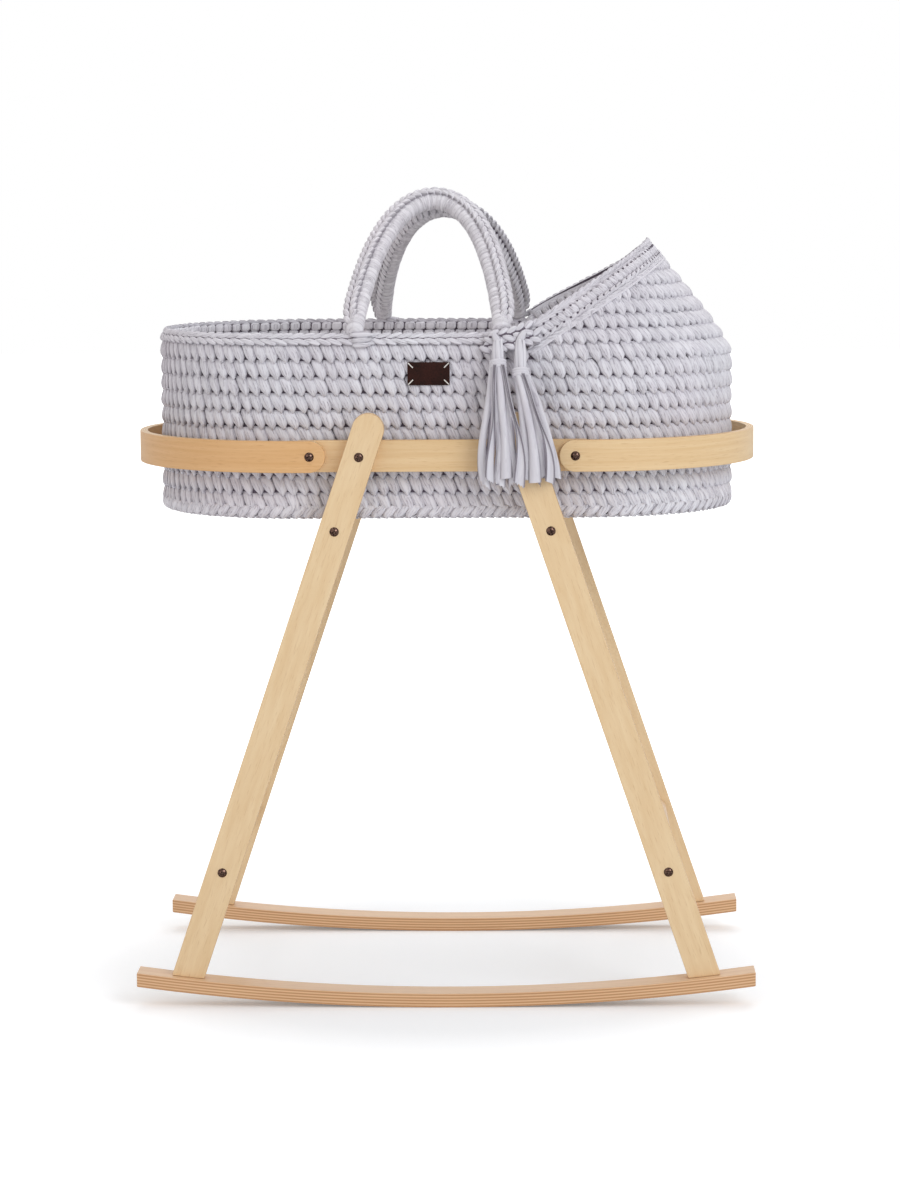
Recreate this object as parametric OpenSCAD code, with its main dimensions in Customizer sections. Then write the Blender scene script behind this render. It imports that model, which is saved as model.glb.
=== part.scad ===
// Crocheted moses basket with a hood, two carry handles and two tassels,
// standing in the oval bentwood ring of a wooden rocking stand.
// Millimetres. X runs along the basket towards the hood, Y towards the back, Z up.

/* [Rockers] */
// length of a rocker from end to end
rocker_length = 783; // [600:1:900]
// height of the underside at a rocker's ends
rocker_rise = 27; // [15:0.5:45]
// thickness of the bent laminated strip
rocker_thickness = 18; // [14:0.5:24]
// width of the bent laminated strip
rocker_width = 40; // [30:1:60]
// distance from a rocker's end to the middle of a leg's foot
foot_inset = 64.1; // [40:0.1:120]

/* [Legs] */
// width of a leg's broad face
leg_width = 40; // [30:1:60]
// thickness of a leg
leg_thickness = 18; // [12:0.5:24]
// distance from a rail's end to a leg's ring bolt
ring_bolt_inset = 77.1; // [50:0.1:110]
// height of the ring bolts, at the middle of the ring strip
ring_height = 698; // [500:1:800]
// distance along a leg from its ring bolt up to the centre of its rounded top
leg_top_reach = 36.5; // [24:0.5:60]
// distance along a leg from its ring bolt down to its upper bar
upper_bar_drop = 98.2; // [60:0.1:160]
// height of the lower bars above the floor
lower_bar_height = 172; // [130:1:260]

/* [Ring] */
// length of the ring over its two bows
ring_length = 800; // [600:1:1000]
// width of the ring over the outer faces of its two rails
ring_width = 418; // [300:1:520]
// height of the bent strip
strip_height = 40; // [25:1:60]
// thickness of the bent strip
strip_thickness = 10; // [6:0.5:16]
// distance from a rail's end to the bolt of each splice
splice_inset = 14.8; // [12:0.1:40]

/* [Cross bars] */
// diameter of the round bars between the front and back legs
bar_diameter = 25; // [18:0.5:35]

/* [Fasteners] */
// shank diameter of the bolts
bolt_diameter = 6; // [5:0.5:8]
// diameter of a bolt's button head
bolt_head_diameter = 12; // [9:0.5:16]
// height of a bolt's button head
bolt_head_height = 3.2; // [2:0.1:5]
// width across the flats of the hexagon socket
socket_flats = 4; // [3:0.5:6]
// depth of the hexagon socket
socket_depth = 1.8; // [1:0.1:2.6]
// outer diameter of a threaded insert in a bar's end
insert_diameter = 10; // [8:0.5:14]
// length of a threaded insert
insert_length = 20; // [12:1:30]
// length of bolt held inside an insert
bolt_grip = 16; // [10:1:18]
// outer diameter of a sleeve nut's barrel
sleeve_diameter = 8; // [7:0.5:11]
// length of a sleeve nut's barrel
sleeve_length = 8; // [6:0.5:9]
// diameter of a sleeve nut's flange
sleeve_flange_diameter = 14; // [11:0.5:18]
// thickness of a sleeve nut's flange
sleeve_flange_thickness = 2; // [1:0.1:3]
// shank diameter of the screw under each leg
screw_diameter = 5; // [4:0.5:6]
// length of that screw above its head
screw_length = 58; // [40:1:80]
// diameter of that screw's head
screw_head_diameter = 10; // [8:0.5:12]
// height of that screw's head
screw_head_height = 3.6; // [2:0.1:5]
// depth of the screw head below the rocker's underside
screw_recess = 3; // [2:0.1:5]
// diameter of the wooden dowels under each leg
dowel_diameter = 8; // [6:0.5:10]
// length of a dowel inside the leg
dowel_in_leg = 18; // [12:1:26]
// length of a dowel inside the rocker
dowel_in_rocker = 11; // [8:1:13]
// distance of each dowel from the screw
dowel_spread = 12; // [9:0.5:14]

/* [Basket] */
// gap between the basket's ends and the ring
end_gap = 18; // [6:0.5:40]
// gap between the basket's sides and the ring
side_gap = 8; // [4:0.5:20]
// height of the basket from its bottom to the top of its rim
basket_height = 230.2; // [180:0.1:300]
// thickness of the crocheted wall
wall_thickness = 14; // [8:0.5:20]
// radius of the wall's outer bottom corner
wall_corner = 7; // [4:0.5:7]
// thickness of the crocheted bottom
base_thickness = 10; // [6:0.5:16]
// diameter of the chain braid along the rim
rim_diameter = 12; // [8:0.5:16]
// thickness of the stiffening board on the bottom
board_thickness = 4; // [3:0.5:8]
// height of the mattress at its middle
mattress_height = 44; // [25:1:60]
// gap between the mattress and the wall
mattress_gap = 3; // [1:0.5:10]

/* [Hood] */
// length of the hood from its front corners to the end of the basket
hood_length = 262; // [220:1:320]
// height of the hood's front corners above the rim
hood_root_rise = 13.5; // [5:0.5:30]
// rise of the hood's front edge from level, in degrees
hood_front_rise = 33.3; // [20:0.1:50]
// height of the hood's peak above the rim
hood_peak_rise = 111; // [70:1:150]
// distance below the rim where the end wall starts to slope into the hood
hood_base_drop = 33; // [20:1:60]
// thickness of the crocheted hood
hood_thickness = 12; // [8:0.5:16]
// width of the border rows along the hood's front edge
hood_band_width = 32; // [20:1:45]

/* [Handles] */
// distance between the two feet of a handle
handle_span = 166; // [140:1:240]
// distance from a handle's feet to the middle of its arch
handle_reach = 228; // [160:1:260]
// sideways shift of a handle's arch from the middle between its feet
handle_skew = 3.4; // [0:0.1:10]
// diameter of the crocheted sleeve
sleeve_tube_diameter = 21; // [15:0.5:30]
// diameter of the rope core
core_diameter = 12; // [8:0.5:18]
// diameter of the braided seam along the sleeve
braid_diameter = 10; // [6:0.5:14]
// turn of the braided seam from the handle's plane, in degrees
braid_turn = 35; // [0:1:60]
// distance of the front handle's arch from the middle plane
front_arch_y = 14.5; // [12:0.1:40]
// distance of the back handle's arch from the middle plane
back_arch_y = 5.9; // [4:0.1:40]
// distance from the hood's front corners to the front handle's nearer foot
front_handle_gap = 44; // [20:1:80]
// distance from the hood's front corners to the back handle's nearer foot
back_handle_gap = 25; // [10:1:60]
// distance of the handles' feet outside the middle of the rim
handle_outset = 1; // [0:0.5:4]
// distance from a foot to the start of the braided seam
braid_start = 16; // [10:1:30]

/* [Tassels] */
// distance of the tassels' cord from the basket's side
cord_reach = 15; // [10:0.5:30]
// distance of the tassels' cord below the top of the rim
cord_drop = 12; // [6:1:30]
// diameter of the cord
cord_diameter = 5; // [3:0.5:8]
// distance from the hood's front corners to the left tassel's loop
left_tassel_gap = 40; // [34:1:70]
// distance from the hood's front corners to the right tassel's loop
right_tassel_gap = 12; // [0:1:18]
// width of a tassel's loop
loop_width = 15; // [8:0.5:20]
// diameter of a tassel's loop
loop_diameter = 13; // [9:0.5:16]
// diameter of a tassel's neck
neck_diameter = 14; // [9:0.5:18]
// distance from the cord down to the left tassel's wrap
left_neck_drop = 20; // [14:1:40]
// distance from the cord down to the right tassel's wrap
right_neck_drop = 31; // [14:1:50]
// thickness of the yarn in the wrap
wrap_yarn = 4; // [2:0.5:6]
// turns of yarn in the wrap
wrap_turns = 3; // [1:1:5]
// distance from the cord down to the strips' lower ends
tassel_length = 172; // [120:1:220]
// gap between the hanging strips and the bolt heads behind them
strip_bolt_gap = 1.9; // [1:0.1:6]
// thickness of a fabric strip
cloth_thickness = 2.2; // [1:0.1:4]
// gap between the two layers of strips
cloth_gap = 0.6; // [0.3:0.1:3]
// width of a fabric strip at its lower end
cloth_width = 11; // [8:0.5:18]
// lean of a tassel between its cord and its wrap, in degrees
neck_lean = 18; // [0:1:30]
// shift of the left tassel's tip from its loop, along the basket
left_tip_shift = 6; // [0:0.5:10]
// half width of the left tassel's tip
left_tip_half = 26; // [15:0.5:30]
// shift of the right tassel's tip from its loop, along the basket
right_tip_shift = 30; // [24:0.5:40]
// half width of the right tassel's tip
right_tip_half = 18; // [12:0.5:24]

/* [Label] */
// width of the leather patch
patch_width = 53; // [30:1:80]
// height of the leather patch
patch_height = 29; // [15:1:50]
// thickness of the leather patch
patch_thickness = 1.6; // [1:0.1:3]
// corner radius of the leather patch
patch_corner = 2; // [0.5:0.5:6]
// distance of the patch's middle below the top of the rim
patch_drop = 48.5; // [30:0.5:90]
// diameter of the sewing thread
thread_diameter = 1.2; // [0.6:0.1:2]
// length of one stitch in the patch
thread_length = 8; // [4:0.5:12]
// distance of a stitch's middle from the patch's edges
thread_inset = 4; // [3:0.5:8]

/* [Fits] */
// gap between pieces that lie against each other
fit_gap = 0.2; // [0.1:0.05:0.5]
// gap between the basket and the bars that carry it
seat_gap = 0.3; // [0.2:0.05:0.6]
// gap between the basket's wall and the pieces laid inside it
round_gap = 0.6; // [0.3:0.05:1]
// gap round a bolt, screw, dowel or insert
hole_gap = 0.2; // [0.1:0.05:0.5]
// gap between the handles' feet and the rim
foot_gap = 0.4; // [0.3:0.05:0.8]

/* [Hidden] */
$fn = 96;
rocker_segments = 1440;
cut_overrun = 2;
rocker_half = rocker_length / 2;
rocker_radius = (rocker_half * rocker_half + rocker_rise * rocker_rise) / (2 * rocker_rise);
rail_outer_y = ring_width / 2;
leg_inner_y = rail_outer_y + fit_gap;
leg_middle_y = leg_inner_y + leg_thickness / 2;
leg_outer_y = leg_inner_y + leg_thickness;
bow_inner = rail_outer_y + fit_gap;
bow_outer = bow_inner + strip_thickness;
bow_centre_x = ring_length / 2 - bow_outer;
ring_bolt_x = bow_centre_x - ring_bolt_inset;
splice_bolt_x = bow_centre_x - splice_inset;
bar_half = rail_outer_y;
hole_extra = 2 * hole_gap;
// a leg runs from its ring bolt to the top of the rocker, and its lean follows from those two places
seat_radius = rocker_radius - rocker_thickness - fit_gap;
foot_x = rocker_half - foot_inset;
foot_z = rocker_radius - sqrt(seat_radius * seat_radius - foot_x * foot_x);
leg_lean = atan2(foot_x - ring_bolt_x, ring_height - foot_z);
leg_foot_drop = (ring_height - foot_z) / cos(leg_lean);
screw_seat = leg_foot_drop + rocker_thickness - screw_recess - screw_head_height;
upper_bar_z = ring_height - upper_bar_drop * cos(leg_lean);
upper_bar_x = ring_bolt_x + upper_bar_drop * sin(leg_lean);
lower_bar_drop = (ring_height - lower_bar_height) / cos(leg_lean);
lower_bar_z = lower_bar_height;
lower_bar_x = ring_bolt_x + lower_bar_drop * sin(leg_lean);
basket_length = ring_length - 2 * (strip_thickness + end_gap);
basket_width = ring_width - 2 * (strip_thickness + side_gap);
basket_bottom = upper_bar_z + bar_diameter / 2 + seat_gap;
rim_height = basket_bottom + basket_height;
basket_radius = basket_width / 2;
basket_half = basket_length / 2 - basket_radius;
hood_root_x = basket_length / 2 - hood_length;
hood_root_height = rim_height + hood_root_rise;
hood_peak_height = rim_height + hood_peak_rise;
hood_base_height = rim_height - hood_base_drop;
wall_top = rim_height - rim_diameter - fit_gap;
rim_middle_radius = basket_radius - wall_thickness / 2;
base_radius = basket_radius - wall_thickness - round_gap;
board_bottom = basket_bottom + base_thickness + fit_gap;
mattress_bottom = board_bottom + board_thickness + fit_gap;
mattress_radius = basket_radius - wall_thickness - mattress_gap;
foot_height = rim_height + foot_gap + sleeve_tube_diameter / 2;
handle_root_y = rim_middle_radius + handle_outset;
front_handle_x = hood_root_x - front_handle_gap - handle_span / 2;
back_handle_x = hood_root_x - back_handle_gap - handle_span / 2;
// each handle leans in until its arch is at its distance from the middle plane
front_handle_lean = asin((handle_root_y - front_arch_y) / handle_reach);
back_handle_lean = asin((handle_root_y - back_arch_y) / handle_reach);
cord_y = basket_radius + cord_reach;
cord_height = rim_height - cord_drop;
left_tassel_x = hood_root_x - left_tassel_gap;
right_tassel_x = hood_root_x - right_tassel_gap;
left_tip_x = left_tassel_x + left_tip_shift;
right_tip_x = right_tassel_x + right_tip_shift;
strip_end_height = cord_height - tassel_length;
strip_hang_y = leg_outer_y + bolt_head_height + strip_bolt_gap + cloth_thickness + cloth_gap / 2;
patch_x = front_handle_x;
patch_z = rim_height - patch_drop;

// inset and height of each ring of the mattress, as shares of its radius and height
mattress_shares = [[0.12, 0], [0.04, 0.05], [0.008, 0.2], [0, 0.4], [0.008, 0.6], [0.04, 0.76],
                   [0.12, 0.86], [0.34, 0.94], [0.66, 0.985], [0.9, 1]];
mattress_around = 40;
// height of each ring of the hood's upper part, as shares of its rise
hood_rise_shares = [0.12, 0.26, 0.4, 0.53, 0.65, 0.76, 0.85, 0.92, 0.965, 0.988];
hood_side_shares = [0, 0.5, 1];
hood_around = 32;
hood_back_power = 1.15;
hood_straight_share = 0.2;
// path of a tassel from its neck to its tip: share of the drop and share of the outward step
drape_shares = [[0, 0], [0.12, 0.3], [0.24, 0.62], [0.36, 0.88],
                [0.47, 1], [0.62, 1], [0.8, 1], [1, 1]];
// width of a strip along its length, as a share of its full width
spread_shares = [0.2, 0.29, 0.38, 0.47, 0.56, 0.67, 0.81, 0.97];
// sideways sway of a strip along its length, as a share of its width
sway_shares = [0, 0.05, -0.04, 0.06, 0.02, -0.05, 0.04, -0.02];
// steps of equal turn along a handle's arch
arch_steps = 28;
// turns of the rings in a handle's domed feet, in degrees
dome_turns = [18, 42, 66];
// where each strip starts and ends: layer, place across the neck, place across the tip, length
left_strip_shares = [[0, -0.75, -0.9, 0.97], [0, -0.25, -0.38, 1], [0, 0.25, 0.14, 0.96], [0, 0.75, 0.7, 1],
                     [1, -0.7, -0.66, 1], [1, -0.2, -0.1, 0.95], [1, 0.3, 0.42, 0.98], [1, 0.78, 0.94, 0.94]];
right_strip_shares = [[0, -0.6, -0.78, 1], [0, 0, -0.02, 0.97], [0, 0.6, 0.74, 1],
                      [1, -0.55, -0.55, 0.96], [1, 0.05, 0.21, 1], [1, 0.65, 0.97, 0.95]];

birch = [0.88, 0.76, 0.6];
bentwood = [0.86, 0.7, 0.48];
laminate = [0.84, 0.68, 0.52];
bronze = [0.2, 0.14, 0.11];
steel = [0.7, 0.7, 0.72];
yarn = [0.82, 0.81, 0.85];
cloth = [0.84, 0.83, 0.87];
leather = [0.19, 0.1, 0.07];
thread = [0.95, 0.94, 0.92];
cotton = [0.95, 0.94, 0.9];
rope = [0.88, 0.85, 0.78];

// a cylinder that runs along Y, centred on the given place
module along_y(diameter, length) {
    rotate([90, 0, 0]) cylinder(d = diameter, h = length, center = true);
}

// the four quarters of the stand: children made at the front on the head side
module at_four_legs() {
    children();
    mirror([1, 0, 0]) children();
    mirror([0, 1, 0]) children();
    mirror([1, 0, 0]) mirror([0, 1, 0]) children();
}

// children placed in a leg's own frame: ring bolt at the origin, Z up along the leg
module in_leg_frame() {
    translate([ring_bolt_x, -leg_middle_y, ring_height]) rotate([0, -leg_lean, 0]) children();
}

module rocker(y) {
    intersection() {
        translate([0, y, rocker_radius]) difference() {
            along_y(2 * rocker_radius, rocker_width, $fn = rocker_segments);
            along_y(2 * (rocker_radius - rocker_thickness), rocker_width + cut_overrun,
                    $fn = rocker_segments);
        }
        translate([-rocker_half, y - rocker_width, -cut_overrun])
            cube([rocker_length, 2 * rocker_width, 2 * (rocker_rise + rocker_thickness)]);
    }
}

// holes for one leg's screw and dowels, in the leg's frame
module foot_holes() {
    translate([0, 0, -screw_seat - hole_gap])
        cylinder(d = screw_diameter + hole_extra, h = screw_length + hole_extra);
    translate([0, 0, -screw_seat - 2 * rocker_thickness])
        cylinder(d = screw_head_diameter + hole_extra, h = 2 * rocker_thickness + hole_gap);
    for (side = [-1, 1])
        translate([side * dowel_spread, 0, -leg_foot_drop - dowel_in_rocker - hole_gap])
            cylinder(d = dowel_diameter + hole_extra, h = dowel_in_rocker + dowel_in_leg + hole_extra);
}

module drilled_rocker(y) {
    difference() {
        rocker(y);
        at_four_legs() in_leg_frame() foot_holes();
    }
}

module leg_blank() {
    intersection() {
        in_leg_frame() union() {
            translate([0, 0, leg_top_reach]) along_y(leg_width, leg_thickness);
            translate([-leg_width / 2, -leg_thickness / 2, -leg_foot_drop - leg_width])
                cube([leg_width, leg_thickness, leg_foot_drop + leg_width + leg_top_reach]);
        }
        translate([0, -leg_middle_y, rocker_radius])
            along_y(2 * seat_radius, leg_thickness + cut_overrun, $fn = rocker_segments);
    }
}

module leg() {
    color(birch) difference() {
        leg_blank();
        in_leg_frame() union() {
            for (drop = [0, upper_bar_drop, lower_bar_drop])
                translate([0, 0, -drop]) along_y(bolt_diameter + hole_extra, leg_thickness + cut_overrun);
            foot_holes();
        }
    }
}

module rail() {
    color(bentwood) translate([0, -rail_outer_y + strip_thickness / 2, ring_height]) difference() {
        cube([2 * bow_centre_x, strip_thickness, strip_height], center = true);
        for (x = [-splice_bolt_x, -ring_bolt_x, ring_bolt_x, splice_bolt_x])
            translate([x, 0, 0]) along_y(sleeve_diameter + hole_extra, strip_thickness + cut_overrun);
    }
}

module bow_arm() {
    translate([0, -bow_inner - strip_thickness / 2, 0]) difference() {
        union() {
            translate([splice_bolt_x, 0, 0]) along_y(strip_height, strip_thickness);
            translate([splice_bolt_x, -strip_thickness / 2, -strip_height / 2])
                cube([bow_centre_x - splice_bolt_x, strip_thickness, strip_height]);
        }
        translate([splice_bolt_x, 0, 0]) along_y(bolt_diameter + hole_extra, strip_thickness + cut_overrun);
    }
}

module bow() {
    color(bentwood) translate([0, 0, ring_height]) union() {
        translate([bow_centre_x, 0, 0]) rotate([0, 0, -90]) rotate_extrude(angle = 180)
            translate([bow_inner, -strip_height / 2]) square([strip_thickness, strip_height]);
        bow_arm();
        mirror([0, 1, 0]) bow_arm();
    }
}

module bar(x, z) {
    color(laminate) translate([x, 0, z]) difference() {
        along_y(bar_diameter, 2 * bar_half);
        for (side = [-1, 1])
            translate([0, side * bar_half, 0])
                along_y(insert_diameter + hole_extra, 2 * (insert_length + hole_gap));
    }
}

// a button head bolt whose head sits on the plane y = 0 and whose shank runs towards +Y
module bolt(length) {
    half_head = bolt_head_diameter / 2;
    dome = (half_head * half_head + bolt_head_height * bolt_head_height) / (2 * bolt_head_height);
    color(bronze) difference() {
        union() {
            intersection() {
                translate([0, dome - bolt_head_height, 0]) sphere(r = dome);
                translate([0, -bolt_head_height / 2 - fit_gap / 2, 0])
                    along_y(bolt_head_diameter - fit_gap, bolt_head_height);
            }
            translate([0, length / 2 - fit_gap, 0]) along_y(bolt_diameter, length + fit_gap);
        }
        translate([0, -bolt_head_height, 0]) rotate([90, 0, 0])
            cylinder(d = socket_flats / cos(30), h = 2 * socket_depth, center = true, $fn = 6);
    }
}

module insert() {
    color(steel) difference() {
        along_y(insert_diameter, insert_length);
        along_y(bolt_diameter + hole_extra, insert_length + cut_overrun);
    }
}

// a flanged sleeve nut with its flange on the plane y = 0 and its barrel towards -Y
module sleeve_nut() {
    color(bronze) difference() {
        union() {
            translate([0, sleeve_flange_thickness / 2, 0])
                along_y(sleeve_flange_diameter, sleeve_flange_thickness);
            translate([0, -sleeve_length / 2, 0]) along_y(sleeve_diameter, sleeve_length);
        }
        translate([0, -sleeve_length / 2 - fit_gap, 0]) along_y(bolt_diameter + hole_extra, sleeve_length);
    }
}

module bar_bolts(x, z) {
    at_four_legs() translate([x, -leg_outer_y, z]) bolt(leg_thickness + bolt_grip);
}

module bar_inserts(x, z) {
    at_four_legs() translate([x, -bar_half + insert_length / 2, z]) insert();
}

module leg_ring_bolts() {
    at_four_legs() translate([ring_bolt_x, -leg_outer_y, ring_height]) bolt(leg_thickness + sleeve_length);
}

module splice_bolts() {
    at_four_legs() translate([splice_bolt_x, -bow_outer, ring_height]) bolt(strip_thickness + sleeve_length);
}

module ring_sleeve_nuts(x) {
    at_four_legs() translate([x, -rail_outer_y + strip_thickness + fit_gap, ring_height]) sleeve_nut();
}

module foot_screws() {
    color(steel) at_four_legs() in_leg_frame()
        translate([0, 0, -screw_seat]) union() {
            cylinder(d = screw_diameter, h = screw_length);
            translate([0, 0, -screw_head_height]) cylinder(d = screw_head_diameter, h = screw_head_height);
        }
}

module foot_dowels() {
    color(laminate) at_four_legs() in_leg_frame() for (side = [-1, 1])
        translate([side * dowel_spread, 0, -leg_foot_drop - dowel_in_rocker])
            cylinder(d = dowel_diameter, h = dowel_in_rocker + dowel_in_leg);
}

// an oval slab with straight sides and round ends, from the height z up
module oval_slab(radius, z, height) {
    translate([0, 0, z]) union() {
        translate([basket_half, 0, 0]) cylinder(r = radius, h = height);
        translate([-basket_half, 0, 0]) cylinder(r = radius, h = height);
        translate([-basket_half, -radius, 0]) cube([2 * basket_half, 2 * radius, height]);
    }
}

// a profile of radius and height carried round one end of the oval and along its sides
module oval_end_and_sides(side_length) {
    translate([-basket_half, 0, 0]) rotate([0, 0, 90]) rotate_extrude(angle = 180) children();
    translate([-basket_half, 0, 0]) rotate([90, 0, 90]) linear_extrude(side_length) children();
    mirror([0, 1, 0]) translate([-basket_half, 0, 0]) rotate([90, 0, 90])
        linear_extrude(side_length) children();
}

module wall_profile() {
    inner = basket_radius - wall_thickness;
    translate([inner, basket_bottom]) square([wall_thickness - wall_corner, wall_top - basket_bottom]);
    translate([inner, basket_bottom + wall_corner])
        square([wall_thickness, wall_top - basket_bottom - wall_corner]);
    translate([basket_radius - wall_corner, basket_bottom + wall_corner]) circle(r = wall_corner);
}

module basket_wall() {
    color(yarn) difference() {
        union() {
            oval_end_and_sides(2 * basket_half) wall_profile();
            translate([basket_half, 0, 0]) rotate([0, 0, -90]) rotate_extrude(angle = 180) wall_profile();
        }
        translate([hood_root_x, -basket_width, hood_base_height])
            cube([basket_length, 2 * basket_width, basket_width]);
    }
}

module basket_bottom() {
    color(yarn) oval_slab(base_radius, basket_bottom, base_thickness);
}

module rim_chain() {
    color(yarn) oval_end_and_sides(basket_half + hood_root_x - fit_gap)
        translate([rim_middle_radius, rim_height - rim_diameter / 2]) circle(d = rim_diameter);
}

module base_board() {
    color(birch) oval_slab(base_radius - fit_gap, board_bottom, board_thickness);
}

// points of an oval ring at a height, counted anticlockwise from above
function oval_ring(radius, z) = [for (k = [0 : mattress_around - 1])
    let (turn = -90 + 360 * (k + 0.5) / mattress_around, end = cos(turn) > 0 ? basket_half : -basket_half)
    [end + radius * cos(turn), radius * sin(turn), z]];

function flatten(lists) = [for (part = lists) for (item = part) item];

// faces of a stack of equal rings, closed at both ends
function loft_faces(rings, around) = concat(
    [[for (k = [0 : around - 1]) k]],
    [[for (k = [around - 1 : -1 : 0]) (rings - 1) * around + k]],
    flatten([for (i = [0 : rings - 2]) flatten([for (k = [0 : around - 1])
        let (a = i * around + k, b = i * around + (k + 1) % around)
        [[a, a + around, b + around], [a, b + around, b]]])]));

module mattress() {
    rings = [for (share = mattress_shares)
        oval_ring(mattress_radius * (1 - share[0]), mattress_bottom + mattress_height * share[1])];
    color(cotton) polyhedron(points = flatten(rings), faces = loft_faces(len(rings), mattress_around));
}

// where the hood's front edge lies at a height
function hood_front_x(z) = hood_root_x + max(0, z - hood_root_height) / tan(hood_front_rise);

// place along half of a level section of the hood, from its front edge to its back, for a share s
function hood_unit(s, blend) =
    let (turn = s < hood_straight_share ? 0 : 90 * (s - hood_straight_share) / (1 - hood_straight_share),
         straight = basket_half - hood_root_x,
         full = straight + basket_radius,
         oval_x = s < hood_straight_share ? straight * s / hood_straight_share / full
                                          : (straight + basket_radius * sin(turn)) / full,
         oval_y = cos(turn))
    [oval_x * (1 - blend) + sin(90 * s) * blend, oval_y * (1 - blend) + cos(90 * s) * blend];

// one level section of the hood, from its front edge at the back of the basket round to the front
function hood_row(z, peak, inset) =
    let (share = (z - hood_base_height) / (peak - hood_base_height),
         rise = max(0, (z - hood_root_height) / (peak - hood_root_height)),
         front = hood_front_x(z),
         base_x = basket_length / 2 - inset,
         back = base_x - (base_x - hood_front_x(peak)) * pow(share, hood_back_power),
         half = (basket_radius - inset) * sqrt(1 - rise * rise),
         blend = min(1, share * 2))
    [for (k = [0 : hood_around])
        let (side = k <= hood_around / 2 ? 1 : -1,
             s = 1 - abs(2 * k / hood_around - 1),
             unit = hood_unit(s, blend))
        [front + (back - front) * unit[0], side * half * unit[1], z]];

function hood_grid(peak, inset) = let (start = hood_base_height + fit_gap) concat(
    [for (share = hood_side_shares)
        hood_row(start + share * (hood_root_height - start), peak, inset)],
    [for (share = hood_rise_shares)
        hood_row(hood_root_height + share * (peak - hood_root_height), peak, inset)]);

module hood_shell() {
    outer = hood_grid(hood_peak_height, 0);
    inner = hood_grid(hood_peak_height - hood_thickness, hood_thickness);
    rows = len(outer);
    across = hood_around + 1;
    shift = rows * across;
    skins = flatten([for (i = [0 : rows - 2]) flatten([for (k = [0 : hood_around - 1])
        let (a = i * across + k, b = a + 1, c = b + across, d = a + across)
        [[a, b, c], [a, c, d], [a + shift, c + shift, b + shift], [a + shift, d + shift, c + shift]]])]);
    bottom = flatten([for (k = [0 : hood_around - 1])
        [[k + 1, k, k + shift], [k + 1, k + shift, k + 1 + shift]]]);
    last = (rows - 1) * across;
    top = flatten([for (k = [0 : hood_around - 1])
        let (a = last + k) [[a, a + 1, a + 1 + shift], [a, a + 1 + shift, a + shift]]]);
    front = flatten([for (i = [0 : rows - 2])
        let (a = i * across, d = a + across, b = a + hood_around, c = b + across)
        [[a, d, d + shift], [a, d + shift, a + shift], [c, b, b + shift], [c, b + shift, c + shift]]]);
    polyhedron(points = concat(flatten(outer), flatten(inner)), faces = concat(skins, bottom, top, front));
}

// a slab behind the sloping front edge of the hood
module hood_border_slab(width) {
    translate([hood_root_x, 0, hood_root_height]) rotate([0, -hood_front_rise, 0])
        translate([-basket_length / 2, -basket_width, -width])
            cube([basket_length, 2 * basket_width, width + basket_width]);
}

module hood() {
    color(yarn) difference() {
        hood_shell();
        hood_border_slab(hood_band_width);
    }
}

module hood_border() {
    color(yarn) intersection() {
        hood_shell();
        hood_border_slab(hood_band_width - fit_gap);
    }
}

// the arch of a handle in its own plane is half an ellipse, its top shifted a little to one side
arch_turns = [for (k = [1 : arch_steps - 1]) let (lean = 180 * k / arch_steps)
    atan2(handle_reach * sin(lean), handle_span / 2 * cos(lean))];

// places along the arch with the direction there, from foot to foot
function arch_samples(start) =
    let (first = asin(start / handle_reach),
         inner = [for (turn = arch_turns) if (turn > first && turn < 180 - first) turn])
    [for (turn = concat([first], inner, [180 - first]))
        let (ahead = [handle_span / 2 * sin(turn) + handle_skew * cos(turn), handle_reach * cos(turn)])
        [handle_skew * sin(turn) - handle_span / 2 * cos(turn), handle_reach * sin(turn),
         ahead[0] / norm(ahead), ahead[1] / norm(ahead)]];

// one ring of a tube round a place on the arch, moved along it, outwards and across
function arch_ring(place, radius, along, out, lift, around) = [for (k = [0 : around - 1])
    let (turn = 360 * k / around, far = out + radius * cos(turn))
    [place[0] + place[2] * along - place[3] * far, place[1] + place[3] * along + place[2] * far,
     lift + radius * sin(turn)]];

// a tube along the arch; its feet are domed when dome is one and flat when it is zero
module arch(diameter, out, lift, start, dome, around) {
    radius = diameter / 2;
    places = arch_samples(start);
    last = places[len(places) - 1];
    rings = concat(
        [for (turn = dome == 1 ? dome_turns : [])
            arch_ring(places[0], radius * sin(turn), -radius * cos(turn), out, lift, around)],
        [for (place = places) arch_ring(place, radius, 0, out, lift, around)],
        [for (k = dome == 1 ? [len(dome_turns) - 1 : -1 : 0] : [])
            arch_ring(last, radius * sin(dome_turns[k]), radius * cos(dome_turns[k]), out, lift, around)]);
    polyhedron(points = flatten(rings), faces = loft_faces(len(rings), around));
}

module in_front_handle_frame() {
    translate([front_handle_x, -handle_root_y, foot_height])
        rotate([90 - front_handle_lean, 0, 0]) children();
}

module in_back_handle_frame() {
    translate([back_handle_x, handle_root_y, foot_height]) rotate([0, 0, 180])
        rotate([90 - back_handle_lean, 0, 0]) children();
}

module handle_sleeve() {
    color(yarn) difference() {
        arch(sleeve_tube_diameter, 0, 0, 0, 1, 18);
        arch(core_diameter + hole_extra, 0, 0, 0, 0, 12);
    }
}

module handle_core() {
    color(rope) arch(core_diameter, 0, 0, hole_gap, 0, 12);
}

module handle_braid() {
    away = (sleeve_tube_diameter + braid_diameter) / 2 + fit_gap;
    color(yarn) arch(braid_diameter, away * cos(braid_turn), away * sin(braid_turn), braid_start, 0, 10);
}

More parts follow.
